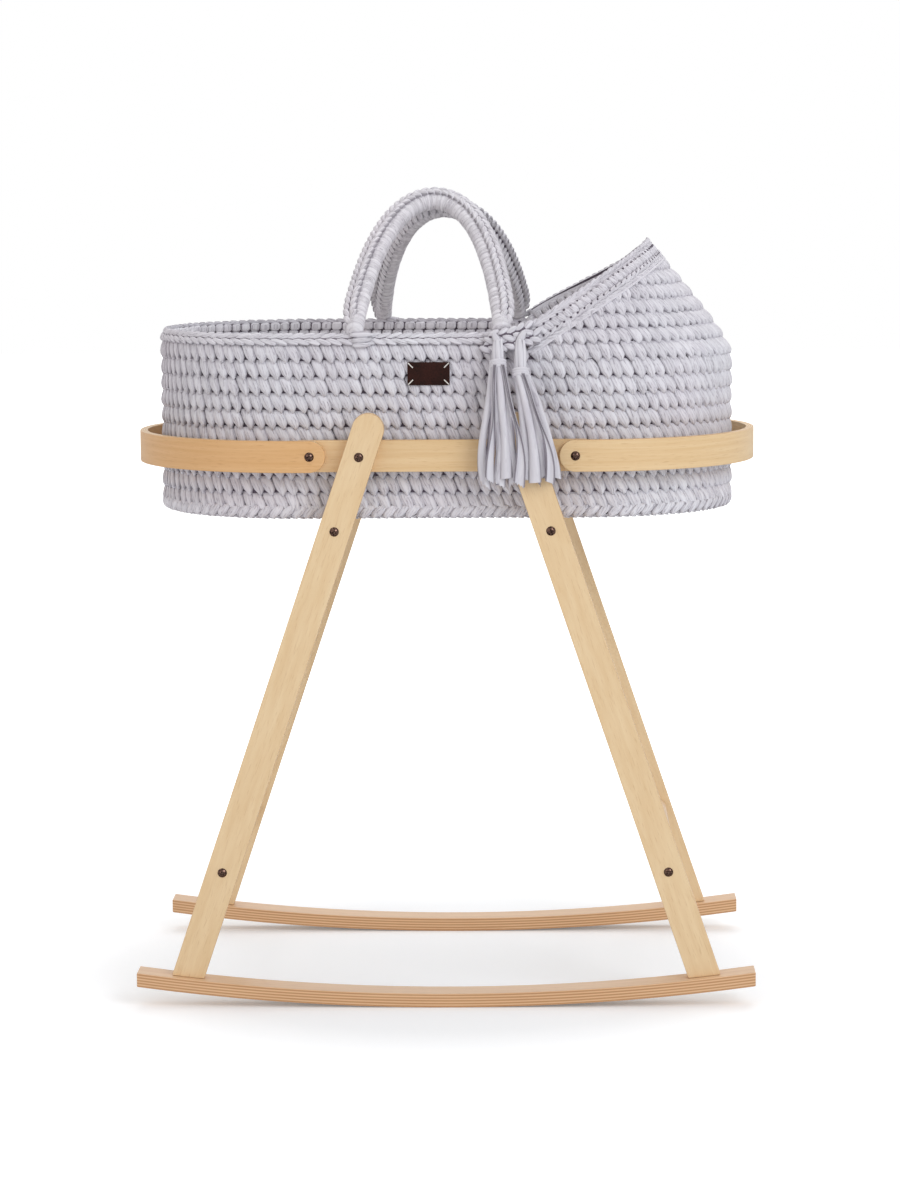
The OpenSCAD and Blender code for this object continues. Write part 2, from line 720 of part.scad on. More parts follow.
module tassel_cord() {
    middle = (left_tassel_x + right_tassel_x) / 2;
    color(cloth) union() {
        translate([left_tassel_x - loop_width / 2 - cord_diameter, -cord_y, cord_height]) rotate([0, 90, 0])
            cylinder(d = cord_diameter, h = right_tassel_x - left_tassel_x + loop_width + 2 * cord_diameter);
        translate([middle, -(cord_y + basket_radius + fit_gap) / 2, cord_height])
            along_y(cord_diameter, cord_y - basket_radius - fit_gap);
    }
}

module tassel_head(x, drop) {
    color(cloth) translate([x, -cord_y, cord_height]) rotate([-neck_lean, 0, 0]) difference() {
        union() {
            rotate([0, 90, 0]) cylinder(d = loop_diameter, h = loop_width, center = true);
            translate([0, 0, -drop - wrap_yarn * wrap_turns])
                cylinder(d = neck_diameter - wrap_yarn / 2, h = drop + wrap_yarn * wrap_turns);
        }
        rotate([0, 90, 0])
            cylinder(d = cord_diameter + hole_extra, h = loop_width + cut_overrun, center = true);
    }
}

module tassel_wrap(x, drop) {
    inside = (neck_diameter - wrap_yarn / 2) / 2 + fit_gap;
    color(cloth) translate([x, -cord_y, cord_height]) rotate([-neck_lean, 0, 0])
        for (turn = [0 : wrap_turns - 1])
            translate([0, 0, -drop - wrap_yarn / 2 - turn * (wrap_yarn - fit_gap)])
                rotate_extrude() translate([inside + wrap_yarn / 2, 0]) circle(d = wrap_yarn);
}

// one hanging strip from a tassel's neck to its tip, given as layer, start, end and length shares
module fabric_strip(x, drop, share, tip_x, tip_half) {
    neck_end = drop + wrap_yarn * wrap_turns + fit_gap;
    top_y = -cord_y - neck_end * sin(neck_lean);
    layer = (share[0] - 0.5) * (cloth_thickness + cloth_gap);
    top_z = cord_height - neck_end * cos(neck_lean) - max(0, cloth_thickness / 2 - layer) * tan(neck_lean);
    start_x = x + share[1] * (neck_diameter - wrap_yarn) / 2;
    end_x = tip_x + share[2] * (tip_half - cloth_width / 4);
    rings = [for (k = [0 : len(drape_shares) - 1])
        let (down = drape_shares[k][0] < 1 ? drape_shares[k][0] : share[3], out = drape_shares[k][1],
             width = cloth_width * spread_shares[k],
             middle_x = start_x + (end_x - start_x) * down + sway_shares[k] * width / 2,
             middle_y = top_y + (-strip_hang_y - top_y) * out - layer,
             z = top_z + (strip_end_height - top_z) * down)
        [[middle_x - width / 2, middle_y - cloth_thickness / 2, z],
         [middle_x - width / 2, middle_y + cloth_thickness / 2, z],
         [middle_x + width / 2, middle_y + cloth_thickness / 2, z],
         [middle_x + width / 2, middle_y - cloth_thickness / 2, z]]];
    color(cloth) polyhedron(points = flatten(rings), faces = loft_faces(len(rings), 4));
}

module leather_patch() {
    half_w = patch_width / 2 - patch_corner;
    half_h = patch_height / 2 - patch_corner;
    color(leather) translate([patch_x, -basket_radius - fit_gap - patch_thickness / 2, patch_z]) union() {
        cube([patch_width, patch_thickness, 2 * half_h], center = true);
        cube([2 * half_w, patch_thickness, patch_height], center = true);
        for (x = [-half_w, half_w]) for (z = [-half_h, half_h])
            translate([x, 0, z]) along_y(2 * patch_corner, patch_thickness);
    }
}

module patch_stitches() {
    y = -basket_radius - fit_gap - patch_thickness - fit_gap - thread_diameter / 2;
    side = patch_width / 2 - thread_inset;
    rise = patch_height / 2 - thread_inset;
    color(thread) for (x = [-1, 1]) for (z = [-1, 1])
        translate([patch_x + x * side, y, patch_z + z * rise])
            rotate([0, -x * z * 45, 0]) rotate([0, 90, 0])
                cylinder(d = thread_diameter, h = thread_length, center = true);
}

color(laminate) drilled_rocker(-leg_middle_y);  // rocker_front
color(laminate) drilled_rocker(leg_middle_y);  // rocker_back
mirror([1, 0, 0]) leg();  // leg_front_foot
leg();  // leg_front_head
mirror([1, 0, 0]) mirror([0, 1, 0]) leg();  // leg_back_foot
mirror([0, 1, 0]) leg();  // leg_back_head
rail();  // ring_rail_front
mirror([0, 1, 0]) rail();  // ring_rail_back
mirror([1, 0, 0]) bow();  // ring_bow_foot
bow();  // ring_bow_head
bar(-upper_bar_x, upper_bar_z);  // upper_bar_foot
bar(upper_bar_x, upper_bar_z);  // upper_bar_head
bar(-lower_bar_x, lower_bar_z);  // lower_bar_foot
bar(lower_bar_x, lower_bar_z);  // lower_bar_head
bar_bolts(upper_bar_x, upper_bar_z);  // upper_bar_bolts
bar_inserts(upper_bar_x, upper_bar_z);  // upper_bar_inserts
bar_bolts(lower_bar_x, lower_bar_z);  // lower_bar_bolts
bar_inserts(lower_bar_x, lower_bar_z);  // lower_bar_inserts
leg_ring_bolts();
ring_sleeve_nuts(ring_bolt_x);  // leg_ring_sleeve_nuts
splice_bolts();
ring_sleeve_nuts(splice_bolt_x);  // splice_sleeve_nuts
foot_screws();
foot_dowels();
basket_wall();
basket_bottom();
rim_chain();
base_board();
mattress();
hood();
hood_border();
leather_patch();
patch_stitches();
tassel_cord();
in_front_handle_frame() handle_sleeve();  // handle_front_sleeve
in_front_handle_frame() handle_core();  // handle_front_core
in_front_handle_frame() handle_braid();  // handle_front_braid
in_back_handle_frame() handle_sleeve();  // handle_back_sleeve
in_back_handle_frame() handle_core();  // handle_back_core
in_back_handle_frame() handle_braid();  // handle_back_braid
tassel_head(left_tassel_x, left_neck_drop);  // tassel_left_head
tassel_wrap(left_tassel_x, left_neck_drop);  // tassel_left_wrap
for (share = left_strip_shares)  // tassel_left_strips
        fabric_strip(left_tassel_x, left_neck_drop, share, left_tip_x, left_tip_half);
tassel_head(right_tassel_x, right_neck_drop);  // tassel_right_head
tassel_wrap(right_tassel_x, right_neck_drop);  // tassel_right_wrap
for (share = right_strip_shares)  // tassel_right_strips
        fabric_strip(right_tassel_x, right_neck_drop, share, right_tip_x, right_tip_half);
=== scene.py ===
"""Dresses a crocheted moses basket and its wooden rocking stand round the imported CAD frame.

Lengths are metres in the CAD frame: X runs towards the hood, Y towards the back, Z up.
Names that end in _mm hold millimetres.
"""

import logging
import math
import random
from dataclasses import dataclass, field
from enum import Enum
from itertools import accumulate
from typing import Callable, Iterable, Iterator, Sequence

import bmesh
import bpy
from mathutils import Matrix, Vector

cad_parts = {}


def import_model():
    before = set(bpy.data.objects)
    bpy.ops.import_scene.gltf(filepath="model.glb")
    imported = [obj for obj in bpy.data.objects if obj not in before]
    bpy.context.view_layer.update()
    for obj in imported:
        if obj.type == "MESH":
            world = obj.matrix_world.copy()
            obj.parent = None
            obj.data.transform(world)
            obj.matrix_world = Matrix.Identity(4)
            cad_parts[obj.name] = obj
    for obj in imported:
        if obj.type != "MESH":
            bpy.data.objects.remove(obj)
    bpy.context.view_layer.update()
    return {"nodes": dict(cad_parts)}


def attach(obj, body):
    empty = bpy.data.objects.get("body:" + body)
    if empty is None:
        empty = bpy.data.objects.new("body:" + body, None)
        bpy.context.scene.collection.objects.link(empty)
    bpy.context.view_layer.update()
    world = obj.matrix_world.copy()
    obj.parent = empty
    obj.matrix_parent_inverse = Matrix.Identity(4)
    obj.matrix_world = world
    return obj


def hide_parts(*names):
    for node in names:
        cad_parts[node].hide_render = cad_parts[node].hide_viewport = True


BMesh = bmesh.types.BMesh
Material = bpy.types.Material
Node = bpy.types.Node
Piece = bpy.types.Object
Socket = bpy.types.NodeSocket

MM = 0.001
STRAND = "strand"
# half the width of a stitch as the strand attribute counts it
EDGE_MM = 7.0
# range of the number that tells one stitch from another
NUMBERS = 97.0
BISECT_STEPS = 40
LOG = logging.getLogger("moses_basket")
UP = Vector((0.0, 0.0, 1.0))
FORWARD = Vector((0.0, -1.0, 0.0))
ASIDE = Vector((1.0, 0.0, 0.0))


def hex_to_linear(code: str) -> tuple[float, float, float, float]:
    """Turns an sRGB hex colour into linear light.

    Args:
        code: colour such as "#D8D4DC".

    Returns:
        Linear red, green, blue and an alpha of one.
    """
    values = [int(code[k:k + 2], 16) / 255 for k in (1, 3, 5)]
    linear = [v / 12.92 if v <= 0.04045 else ((v + 0.055) / 1.055) ** 2.4 for v in values]
    return linear[0], linear[1], linear[2], 1.0


class Nodes:
    """Adds shader nodes to one tree. Most methods give the new node's output."""

    def __init__(self, tree: bpy.types.NodeTree) -> None:
        """Starts on a tree that has its shader."""
        self.tree = tree

    def fill(self, node: Node, inputs: dict) -> None:
        """Sets a node's inputs: sockets are linked, and hex colours become linear light.

        Args:
            node: the node.
            inputs: value, colour or output socket for each input, by name or number.
        """
        for name, source in inputs.items():
            if isinstance(source, Socket):
                self.tree.links.new(source, node.inputs[name])
            else:
                value = hex_to_linear(source) if isinstance(source, str) else source
                node.inputs[name].default_value = value

    def add(self, kind: str, inputs: dict | None = None, **settings) -> Node:
        """Adds one node with its settings and links.

        Args:
            kind: Blender's name of the node type, after "ShaderNode".
            inputs: value, colour or output socket for each input, by name or number.
            settings: properties of the node.

        Returns:
            The new node.
        """
        node = self.tree.nodes.new("ShaderNode" + kind)
        for name, value in settings.items():
            setattr(node, name, value)
        self.fill(node, inputs or {})
        return node

    def math(self, operation: str, *values: float | Socket) -> Socket:
        """One sum of up to three values."""
        return self.add("Math", dict(enumerate(values)), operation=operation).outputs[0]

    def stretch(self, place: Socket, scales: tuple[float, float, float]) -> Socket:
        """A place with its axes multiplied."""
        return self.add("VectorMath", {0: place, 1: scales}, operation="MULTIPLY").outputs[0]

    def length(self, place: Socket) -> Socket:
        """A place's distance from the origin."""
        return self.add("VectorMath", {0: place}, operation="LENGTH").outputs["Value"]

    def split(self, place: Socket) -> Sequence[Socket]:
        """A place's three parts."""
        return self.add("SeparateXYZ", {0: place}).outputs

    def combine(self, *parts: Socket) -> Socket:
        """A place from its parts."""
        return self.add("CombineXYZ", dict(enumerate(parts))).outputs[0]

    def remap(self, value: Socket, low: float = 0.0, high: float = 1.0, to_low: float = 0.0,
              to_high: float = 1.0) -> Socket:
        """Maps one range of values to another and stops at its ends."""
        inputs = {"Value": value, "From Min": low, "From Max": high, "To Min": to_low, "To Max": to_high}
        return self.add("MapRange", inputs).outputs[0]

    def mix(self, share: float | Socket, first: str | Socket, second: str | Socket,
            blend: str = "MIX") -> Socket:
        """Blends two colours."""
        inputs = {0: share, 6: first, 7: second}
        return self.add("Mix", inputs, data_type="RGBA", blend_type=blend).outputs[2]

    def noise(self, place: Socket, scale: float, detail: float, roughness: float = 0.5,
              distortion: float = 0.0) -> Socket:
        """Soft noise at a scale."""
        inputs = {"Vector": place, "Scale": scale, "Detail": detail, "Roughness": roughness,
                  "Distortion": distortion}
        return self.add("TexNoise", inputs).outputs[0]

    def bump(self, height: Socket, strength: float, distance: float) -> Socket:
        """Normals from heights."""
        return self.add("Bump", {"Height": height, "Strength": strength, "Distance": distance}).outputs[0]


def start_material(name: str) -> tuple[Material, Nodes, Node]:
    """Starts a material.

    Args:
        name: the real material's name.

    Returns:
        The material, its nodes and its Principled shader.
    """
    material = bpy.data.materials.new(name)
    material.use_nodes = True
    return material, Nodes(material.node_tree), material.node_tree.nodes["Principled BSDF"]


@dataclass(frozen=True)
class CrochetYarn:
    """Thick jersey yarn, cut from knitted cotton: matt, soft, with long creases along each strand."""

    name: str = "crocheted_jersey_yarn"
    light: str = "#ECEBF0"
    dark: str = "#DAD7DE"
    # colour of the thin fold lines: painted shade in the creases
    fold: str = "#8B838F"
    # colour of the painted shade where the yarn turns in between its neighbours
    gap: str = "#6E6672"
    warm: str = "#FAF6F7"
    fold_mm: float = 3.2
    crease_mm: float = 2.0
    crease_length_mm: float = 16.0
    fuzz_mm: float = 1.4
    # share of that painted shade at the sides of a stitch
    edge: float = 0.56
    bump_mm: float = 0.7

    def build(self) -> Material:
        """Makes the material.

        Returns:
            A material that reads the strand attribute: millimetres across and along, and a number.
        """
        material, nodes, shader = start_material(self.name)
        strand = nodes.add("Attribute", attribute_name=STRAND).outputs["Vector"]
        place = nodes.add("TexCoord").outputs["Object"]
        across, _, number = nodes.split(strand)
        crease = nodes.noise(nodes.stretch(strand, (1 / self.crease_mm, 1 / self.crease_length_mm, 1.0)),
                             1.0, 2.0, 0.6)
        # the tone follows the crease noise that also raises the bump, so the hollows of the creases are
        # painted darker: painted shade
        tone = nodes.mix(nodes.remap(crease, 0.32, 0.6), self.dark, self.light)
        # thin dark fold lines: painted shade in the folds, which also sink the bump
        lane = nodes.math("MULTIPLY_ADD", across, 1 / self.fold_mm, number)
        saw = nodes.math("PINGPONG", nodes.math("MULTIPLY_ADD", crease, 2.6, lane), 0.5)
        fade = nodes.remap(crease, 0.62, 0.42, 0.0, 0.6)
        mark = nodes.math("MULTIPLY", nodes.remap(saw, 0.0, 0.14, 1.0, 0.0), fade)
        tone = nodes.mix(mark, tone, self.fold)
        # painted shade: the yarn is drawn darker where it turns in between its neighbours, where shade falls
        turned = nodes.remap(nodes.math("ABSOLUTE", across), 0.66 * EDGE_MM, EDGE_MM, 0.0, self.edge)
        tone = nodes.mix(turned, tone, self.gap)
        blush = nodes.remap(nodes.noise(place, 6.0, 1.0), 0.35, 0.7, 0.0, 0.8)
        tone = nodes.mix(blush, tone, self.warm, "MULTIPLY")
        level = nodes.remap(nodes.math("FRACT", number), 0.0, 1.0, 0.9, 1.0)
        tone = nodes.mix(1.0, tone, level, "MULTIPLY")
        # knit loops are under a millimetre; they are drawn a little coarser so that they show
        fuzz = nodes.noise(place, 1 / (self.fuzz_mm * MM), 1.0)
        height = nodes.math("MULTIPLY_ADD", mark, -0.9, nodes.math("MULTIPLY_ADD", fuzz, 0.16, crease))
        nodes.fill(shader, {"Base Color": tone, "Normal": nodes.bump(height, 0.85, self.bump_mm * MM),
                            "Roughness": 0.9, "Sheen Weight": 0.15, "Sheen Roughness": 0.5,
                            "Specular IOR Level": 0.25})
        return material


@dataclass(frozen=True)
class Birch:
    """Pale wood under satin lacquer: straight grained, with short darker flecks along the grain."""

    name: str
    light: str
    dark: str
    fleck: str
    turn: tuple[float, float, float] = (0.0, 0.0, 0.0)
    grain_mm: float = 5.0
    figure_mm: float = 160.0
    ply_mm: float = 1.5
    ply_axis: int = 1
    ply_light: str = "#E3C59C"
    ply_dark: str = "#B98E62"
    bend_x: float = 0.0
    bend_side: float = 0.0
    arc_radius: float = 0.0

    def coordinates(self, nodes: Nodes, place: Socket) -> Socket:
        """Lays the grain along straight or bent wood.

        Args:
            nodes: the material's nodes.
            place: the object coordinates.

        Returns:
            Coordinates with the grain along Z and the plies along Y.
        """
        if not self.arc_radius:
            return nodes.add("Mapping", {"Vector": place, "Rotation": self.turn}).outputs[0]
        x, y, z = nodes.split(place)
        if self.bend_side:
            ahead = nodes.math("MULTIPLY_ADD", x, self.bend_side, -self.bend_x)
            along = nodes.math("MULTIPLY", nodes.math("ARCTAN2", y, ahead), self.arc_radius)
            return nodes.combine(z, nodes.length(nodes.combine(ahead, y)), along)
        drop = nodes.math("SUBTRACT", z, self.arc_radius)
        return nodes.combine(y, nodes.length(nodes.combine(x, drop)), x)

    def build(self) -> Material:
        """Makes the material.

        Returns:
            A material with figure on the broad faces and plies on the edges.
        """
        material, nodes, shader = start_material(self.name)
        place = nodes.add("TexCoord").outputs
        laid = self.coordinates(nodes, place["Object"])
        across = 1 / (self.grain_mm * MM)
        grain = nodes.noise(nodes.stretch(laid, (across, across, 1 / (self.figure_mm * MM))), 1.0, 3.0, 0.55,
                            0.35)
        tone = nodes.mix(nodes.remap(grain, 0.3, 0.7), self.dark, self.light)
        # pores are a tenth of a millimetre wide; drawn as flecks of about one millimetre so that they show
        fleck = nodes.noise(nodes.stretch(laid, (900.0, 900.0, 70.0)), 1.0, 1.0)
        veneer = nodes.mix(nodes.remap(fleck, 0.6, 0.8, 0.0, 0.55), tone, self.fleck)
        phase = nodes.math("MULTIPLY", nodes.split(laid)[1], math.pi / (self.ply_mm * MM))
        wander = nodes.math("MULTIPLY_ADD", grain, 1.6, nodes.math("SINE", phase))
        plies = nodes.mix(nodes.remap(wander, 0.1, 1.5), self.ply_dark, self.ply_light)
        facing = nodes.math("ABSOLUTE", nodes.split(place["Normal"])[self.ply_axis])
        broad = nodes.remap(facing, 0.55, 0.8)
        if self.bend_side:
            broad = nodes.math("SUBTRACT", 1.0, broad)
        nodes.fill(shader, {"Base Color": nodes.mix(broad, plies, veneer), "IOR": 1.5,
                            "Roughness": nodes.remap(grain, 0.0, 1.0, 0.38, 0.5),
                            "Normal": nodes.bump(fleck, 0.12, 0.2 * MM), "Coat Weight": 0.25,
                            "Coat Roughness": 0.3})
        return material


@dataclass(frozen=True)
class Plated:
    """Plated or bronzed steel: a metal with brighter worn patches and fine tool marks."""

    name: str
    body: str
    worn: str
    roughness: float
    mark_mm: float = 1.5

    def build(self) -> Material:
        """Makes the material.

        Returns:
            A metal whose tone and gloss vary in small patches.
        """
        material, nodes, shader = start_material(self.name)
        patch = nodes.noise(nodes.add("TexCoord").outputs["Object"], 1 / (self.mark_mm * MM), 3.0)
        gloss = nodes.remap(patch, 0.0, 1.0, self.roughness - 0.1, self.roughness + 0.12)
        nodes.fill(shader, {"Base Color": nodes.mix(nodes.remap(patch, 0.4, 0.75), self.body, self.worn),
                            "Metallic": 1.0, "Roughness": gloss})
        return material


@dataclass(frozen=True)
class Fibre:
    """Woven, twisted or tanned soft goods: a fine grain over one colour."""

    name: str
    light: str
    dark: str
    grain_mm: float
    roughness: float
    bump_mm: float
    sheen: float = 0.1
    gloss: float = 0.35

    def build(self) -> Material:
        """Makes the material.

        Returns:
            A matt material with its grain in colour and height.
        """
        material, nodes, shader = start_material(self.name)
        place = nodes.add("TexCoord").outputs["Object"]
        cells = nodes.add("TexVoronoi", {"Vector": place, "Scale": 1 / (self.grain_mm * MM)})
        height = cells.outputs["Distance"]
        blend = nodes.math("MULTIPLY_ADD", height, 0.5, nodes.noise(place, 60.0, 3.0))
        nodes.fill(shader, {"Base Color": nodes.mix(nodes.remap(blend, 0.5, 1.0), self.light, self.dark),
                            "Normal": nodes.bump(height, 0.5, self.bump_mm * MM),
                            "Roughness": self.roughness, "Sheen Weight": self.sheen,
                            "Specular IOR Level": self.gloss})
        return material


def frame_matrix(x: Vector, y: Vector, z: Vector, place: Vector) -> Matrix:
    """A matrix from its three axes and its place."""
    return Matrix.Translation(place) @ Matrix((x, y, z)).transposed().to_4x4()


@dataclass
class Spot:
    """One place on a surface, with the directions along its row, up the surface and away from it."""

    place: Vector
    across: Vector
    up: Vector
    out: Vector

    def matrix(self, width: float, depth: float, height: float, turn: float = 0.0) -> Matrix:
        """Carries a unit shape here: X across, minus Y outwards, Z up.

        Args:
            width: scale across.
            depth: scale outwards.
            height: scale upwards.
            turn: turn about the outward direction, in radians.

        Returns:
            The matrix for bmesh.
        """
        spin = Matrix.Rotation(turn, 3, self.out)
        across = spin @ self.across * width
        return frame_matrix(across, -self.out * depth, spin @ self.up * height, self.place)

    def moved(self, across: float = 0.0, up: float = 0.0, out: float = 0.0) -> "Spot":
        """The same spot, shifted along its own directions."""
        place = self.place + self.across * across + self.up * up + self.out * out
        return Spot(place, self.across, self.up, self.out)

    def flipped(self) -> "Spot":
        """The same spot, seen from the other face."""
        return Spot(self.place, -self.across, self.up, -self.out)


class StitchKind(Enum):
    """Shapes of yarn that the crochet is made of."""

    LEAF = "leaf"
    LEAF_MIRRORED = "leaf_mirrored"
    BRICK = "brick"
    LOBE = "lobe"


# rings of a leaf stitch from its top to its tip: height, half width, outward crest, shift across
LEAF_RINGS = ((1.18, 0.0, -0.7, -0.4), (1.08, 0.48, 0.0, -0.36), (0.86, 0.60, 0.5, -0.23),
              (0.54, 0.63, 0.86, -0.03), (0.26, 0.53, 1.0, 0.14), (0.04, 0.27, 0.94, 0.25),
              (-0.15, 0.0, 0.6, 0.32))
# share of the crest round a ring; the last three lie flat at the back
LEAF_PROFILE = (0.5, 1.0, 0.95, 0.66, 0.05, -0.4, -0.4, -0.4)
LEAF_SIDES = 8
LEAF_LENGTH_MM = 20.0
PLAIN_RINGS = 5


def stitch_mesh(kind: StitchKind) -> bpy.types.Mesh:
    """Makes the unit shape of one stitch from a sphere.

    Args:
        kind: which shape.

    Returns:
        A closed mesh with the strand attribute, one unit wide and one unit high.
    """
    bm = bmesh.new()
    strand = bm.verts.layers.float_vector.new(STRAND)
    leaf = kind in (StitchKind.LEAF, StitchKind.LEAF_MIRRORED)
    rings = len(LEAF_RINGS) - 1 if leaf else PLAIN_RINGS
    bmesh.ops.create_uvsphere(bm, u_segments=LEAF_SIDES, v_segments=rings, radius=1.0)
    # the strand's first value grows towards a stitch's sides, where the yarn material paints shade
    for vert in bm.verts:
        x, y, z = vert.co
        if leaf:
            ring = round(math.acos(max(-1.0, min(1.0, z))) / math.pi * rings)
            height, half, crest, shift = LEAF_RINGS[ring]
            side = round(math.atan2(y, x) / (2 * math.pi) * LEAF_SIDES) % LEAF_SIDES
            pole = ring in (0, rings)
            lift = crest if pole else LEAF_PROFILE[side] * (crest if side < 5 else 1.0)
            share = 0.0 if pole else math.cos(2 * math.pi * side / LEAF_SIDES)
            mirror = -1.0 if kind is StitchKind.LEAF_MIRRORED else 1.0
            vert.co = (mirror * (shift + half * share), -lift, height)
            vert[strand] = (EDGE_MM * share, height * LEAF_LENGTH_MM, 0.0)
        elif kind is StitchKind.BRICK:
            long, tall = (math.copysign(abs(v) ** 0.6, v) for v in (y, z))
            vert.co = (0.5 * long, -1.0 * x, 0.53 * tall + 0.08 * y)
            vert[strand] = (EDGE_MM * max(abs(y), abs(z)) ** 2, y * 7.0, 0.0)
        else:
            taper = 1.0 + 0.2 * z
            girth = math.hypot(x, y)
            vert.co = (0.5 * x * taper, -0.5 * y, 0.5 * z)
            vert[strand] = (EDGE_MM * x / girth if girth > 0.01 else 0.0, z * 8.0, 0.0)
    bmesh.ops.recalc_face_normals(bm, faces=bm.faces)
    mesh = bpy.data.meshes.new(kind.value)
    bm.to_mesh(mesh)
    bm.free()
    return mesh


def verts_of(made: dict) -> list[bmesh.types.BMVert]:
    """The vertices among what a bmesh operator made."""
    return [item for item in made["geom"] if isinstance(item, bmesh.types.BMVert)]


def plain_strand(bm: BMesh, axis: int) -> None:
    """Gives a plain sheet the strand attribute, with its creases along one axis.

    Args:
        bm: the sheet.
        axis: number of the axis.
    """
    strand = bm.verts.layers.float_vector.new(STRAND)
    for vert in bm.verts:
        vert[strand] = (0.0, vert.co[axis] / MM, 0.5)


def object_from(bm: BMesh, name: str, material: Material, smooth: bool = True) -> Piece:
    """Turns a bmesh into an object in the scene.

    Args:
        bm: the finished shape, which is freed.
        name: name of the object.
        material: its one material.
        smooth: whether faces are shaded smooth.

    Returns:
        The object.
    """
    for face in bm.faces:
        face.smooth = smooth
    mesh = bpy.data.meshes.new(name)
    bm.to_mesh(mesh)
    bm.free()
    mesh.materials.append(material)
    made = bpy.data.objects.new(name, mesh)
    bpy.context.scene.collection.objects.link(made)
    return made


def join(name: str, parts: Sequence[Piece]) -> Piece:
    """Joins objects into one piece.

    Args:
        name: name of the piece.
        parts: objects, the first of which stays.

    Returns:
        The joined object.
    """
    first = parts[0]
    if len(parts) > 1:
        with bpy.context.temp_override(active_object=first, object=first, selected_objects=list(parts),
                                       selected_editable_objects=list(parts)):
            bpy.ops.object.join()
    first.name = name
    first.data.name = name
    return first


class StitchWork:
    """Repeats unit stitches row by row and joins the rows into one piece."""

    # lobes of a chain: shift from its middle and width as shares of its width, and share of its depth
    LOBE_SHIFT = 0.24
    LOBE_WIDTH = 0.54
    LOBE_DEPTH = 1.2

    def __init__(self, name: str, material: Material, seed: int) -> None:
        """Starts an empty piece with its own seeded variation.

        Args:
            name: name of the piece.
            material: its yarn.
            seed: start of its random draws.
        """
        self.name = name
        self.material = material
        self.random = random.Random(seed)
        self.parts: list[Piece] = []
        self.shapes: dict[StitchKind, bpy.types.Mesh] = {}

    def row(self, kind: StitchKind, matrices: Sequence[Matrix], material: Material | None = None) -> None:
        """Adds one row of stitches.

        Args:
            kind: shape of the stitches.
            matrices: where each stitch goes.
            material: another material than the piece's own.
        """
        if not matrices:
            return
        if kind not in self.shapes:
            self.shapes[kind] = stitch_mesh(kind)
        bm = bmesh.new()
        bm.from_mesh(self.shapes[kind])
        strand = bm.verts.layers.float_vector[STRAND]
        model = bm.verts[:]
        whole = model + bm.edges[:] + bm.faces[:]
        for matrix in matrices:
            verts = verts_of(bmesh.ops.duplicate(bm, geom=whole))
            bmesh.ops.transform(bm, matrix=matrix, verts=verts)
            number = self.random.random() * NUMBERS
            for vert in verts:
                vert[strand].z = number
        bmesh.ops.delete(bm, geom=model, context="VERTS")
        self.parts.append(object_from(bm, self.name + "_row", material or self.material))

    def vary(self, spot: Spot, width: float, depth: float, height: float) -> Matrix:
        """A stitch's matrix with the small differences of hand work.

        Args:
            spot: where the stitch sits.
            width: its width.
            depth: its depth.
            height: its height.

        Returns:
            The matrix.
        """
        draw = self.random.uniform
        turn = draw(-0.09, 0.09)
        moved = spot.moved(draw(-0.03, 0.03) * width, draw(-0.02, 0.02) * height)
        return moved.matrix(width * (1 + draw(-0.05, 0.05)), depth * (1 + draw(-0.1, 0.06)),
                            height * (1 + draw(-0.03, 0.03)), turn)

    def chain(self, spots: Sequence[Spot], width: float, pitch: float, depth: float, slope: float,
              overlap: float = 1.6) -> None:
        """Adds a chain braid: two files of long lobes that lean in to the middle.

        Args:
            spots: middle of each link, with across along the chain and up across its width.
            width: width of the braid.
            pitch: distance between links.
            depth: height of the braid over its base.
            slope: lean of the lobes, in radians.
            overlap: length of a lobe as a share of the pitch.
        """
        for side in (-1.0, 1.0):
            matrices = []
            for spot in spots:
                lean = spot.moved(0.5 * pitch if side > 0 else 0.0, side * width * self.LOBE_SHIFT)
                turned = Spot(lean.place, -lean.up, lean.across, lean.out)
                spin = side * slope + self.random.uniform(-0.05, 0.05)
                long = pitch * overlap * self.random.uniform(0.96, 1.04)
                matrices.append(turned.matrix(width * self.LOBE_WIDTH, depth * self.LOBE_DEPTH, long,
                                              spin))
            self.row(StitchKind.LOBE, matrices)

    def strand(self, spots: Sequence[Spot], radius: float, sides: int = 8,
               material: Material | None = None) -> None:
        """Adds a round strand, such as the dark one of painted shade that shows in a chain's gaps."""
        bm = sweep(spots, lambda _: radius, sides)
        self.parts.append(object_from(bm, self.name + "_strand", material or self.material))

    def finish(self) -> Piece:
        """Joins the rows into the piece."""
        for mesh in self.shapes.values():
            bpy.data.meshes.remove(mesh)
        return join(self.name, self.parts)


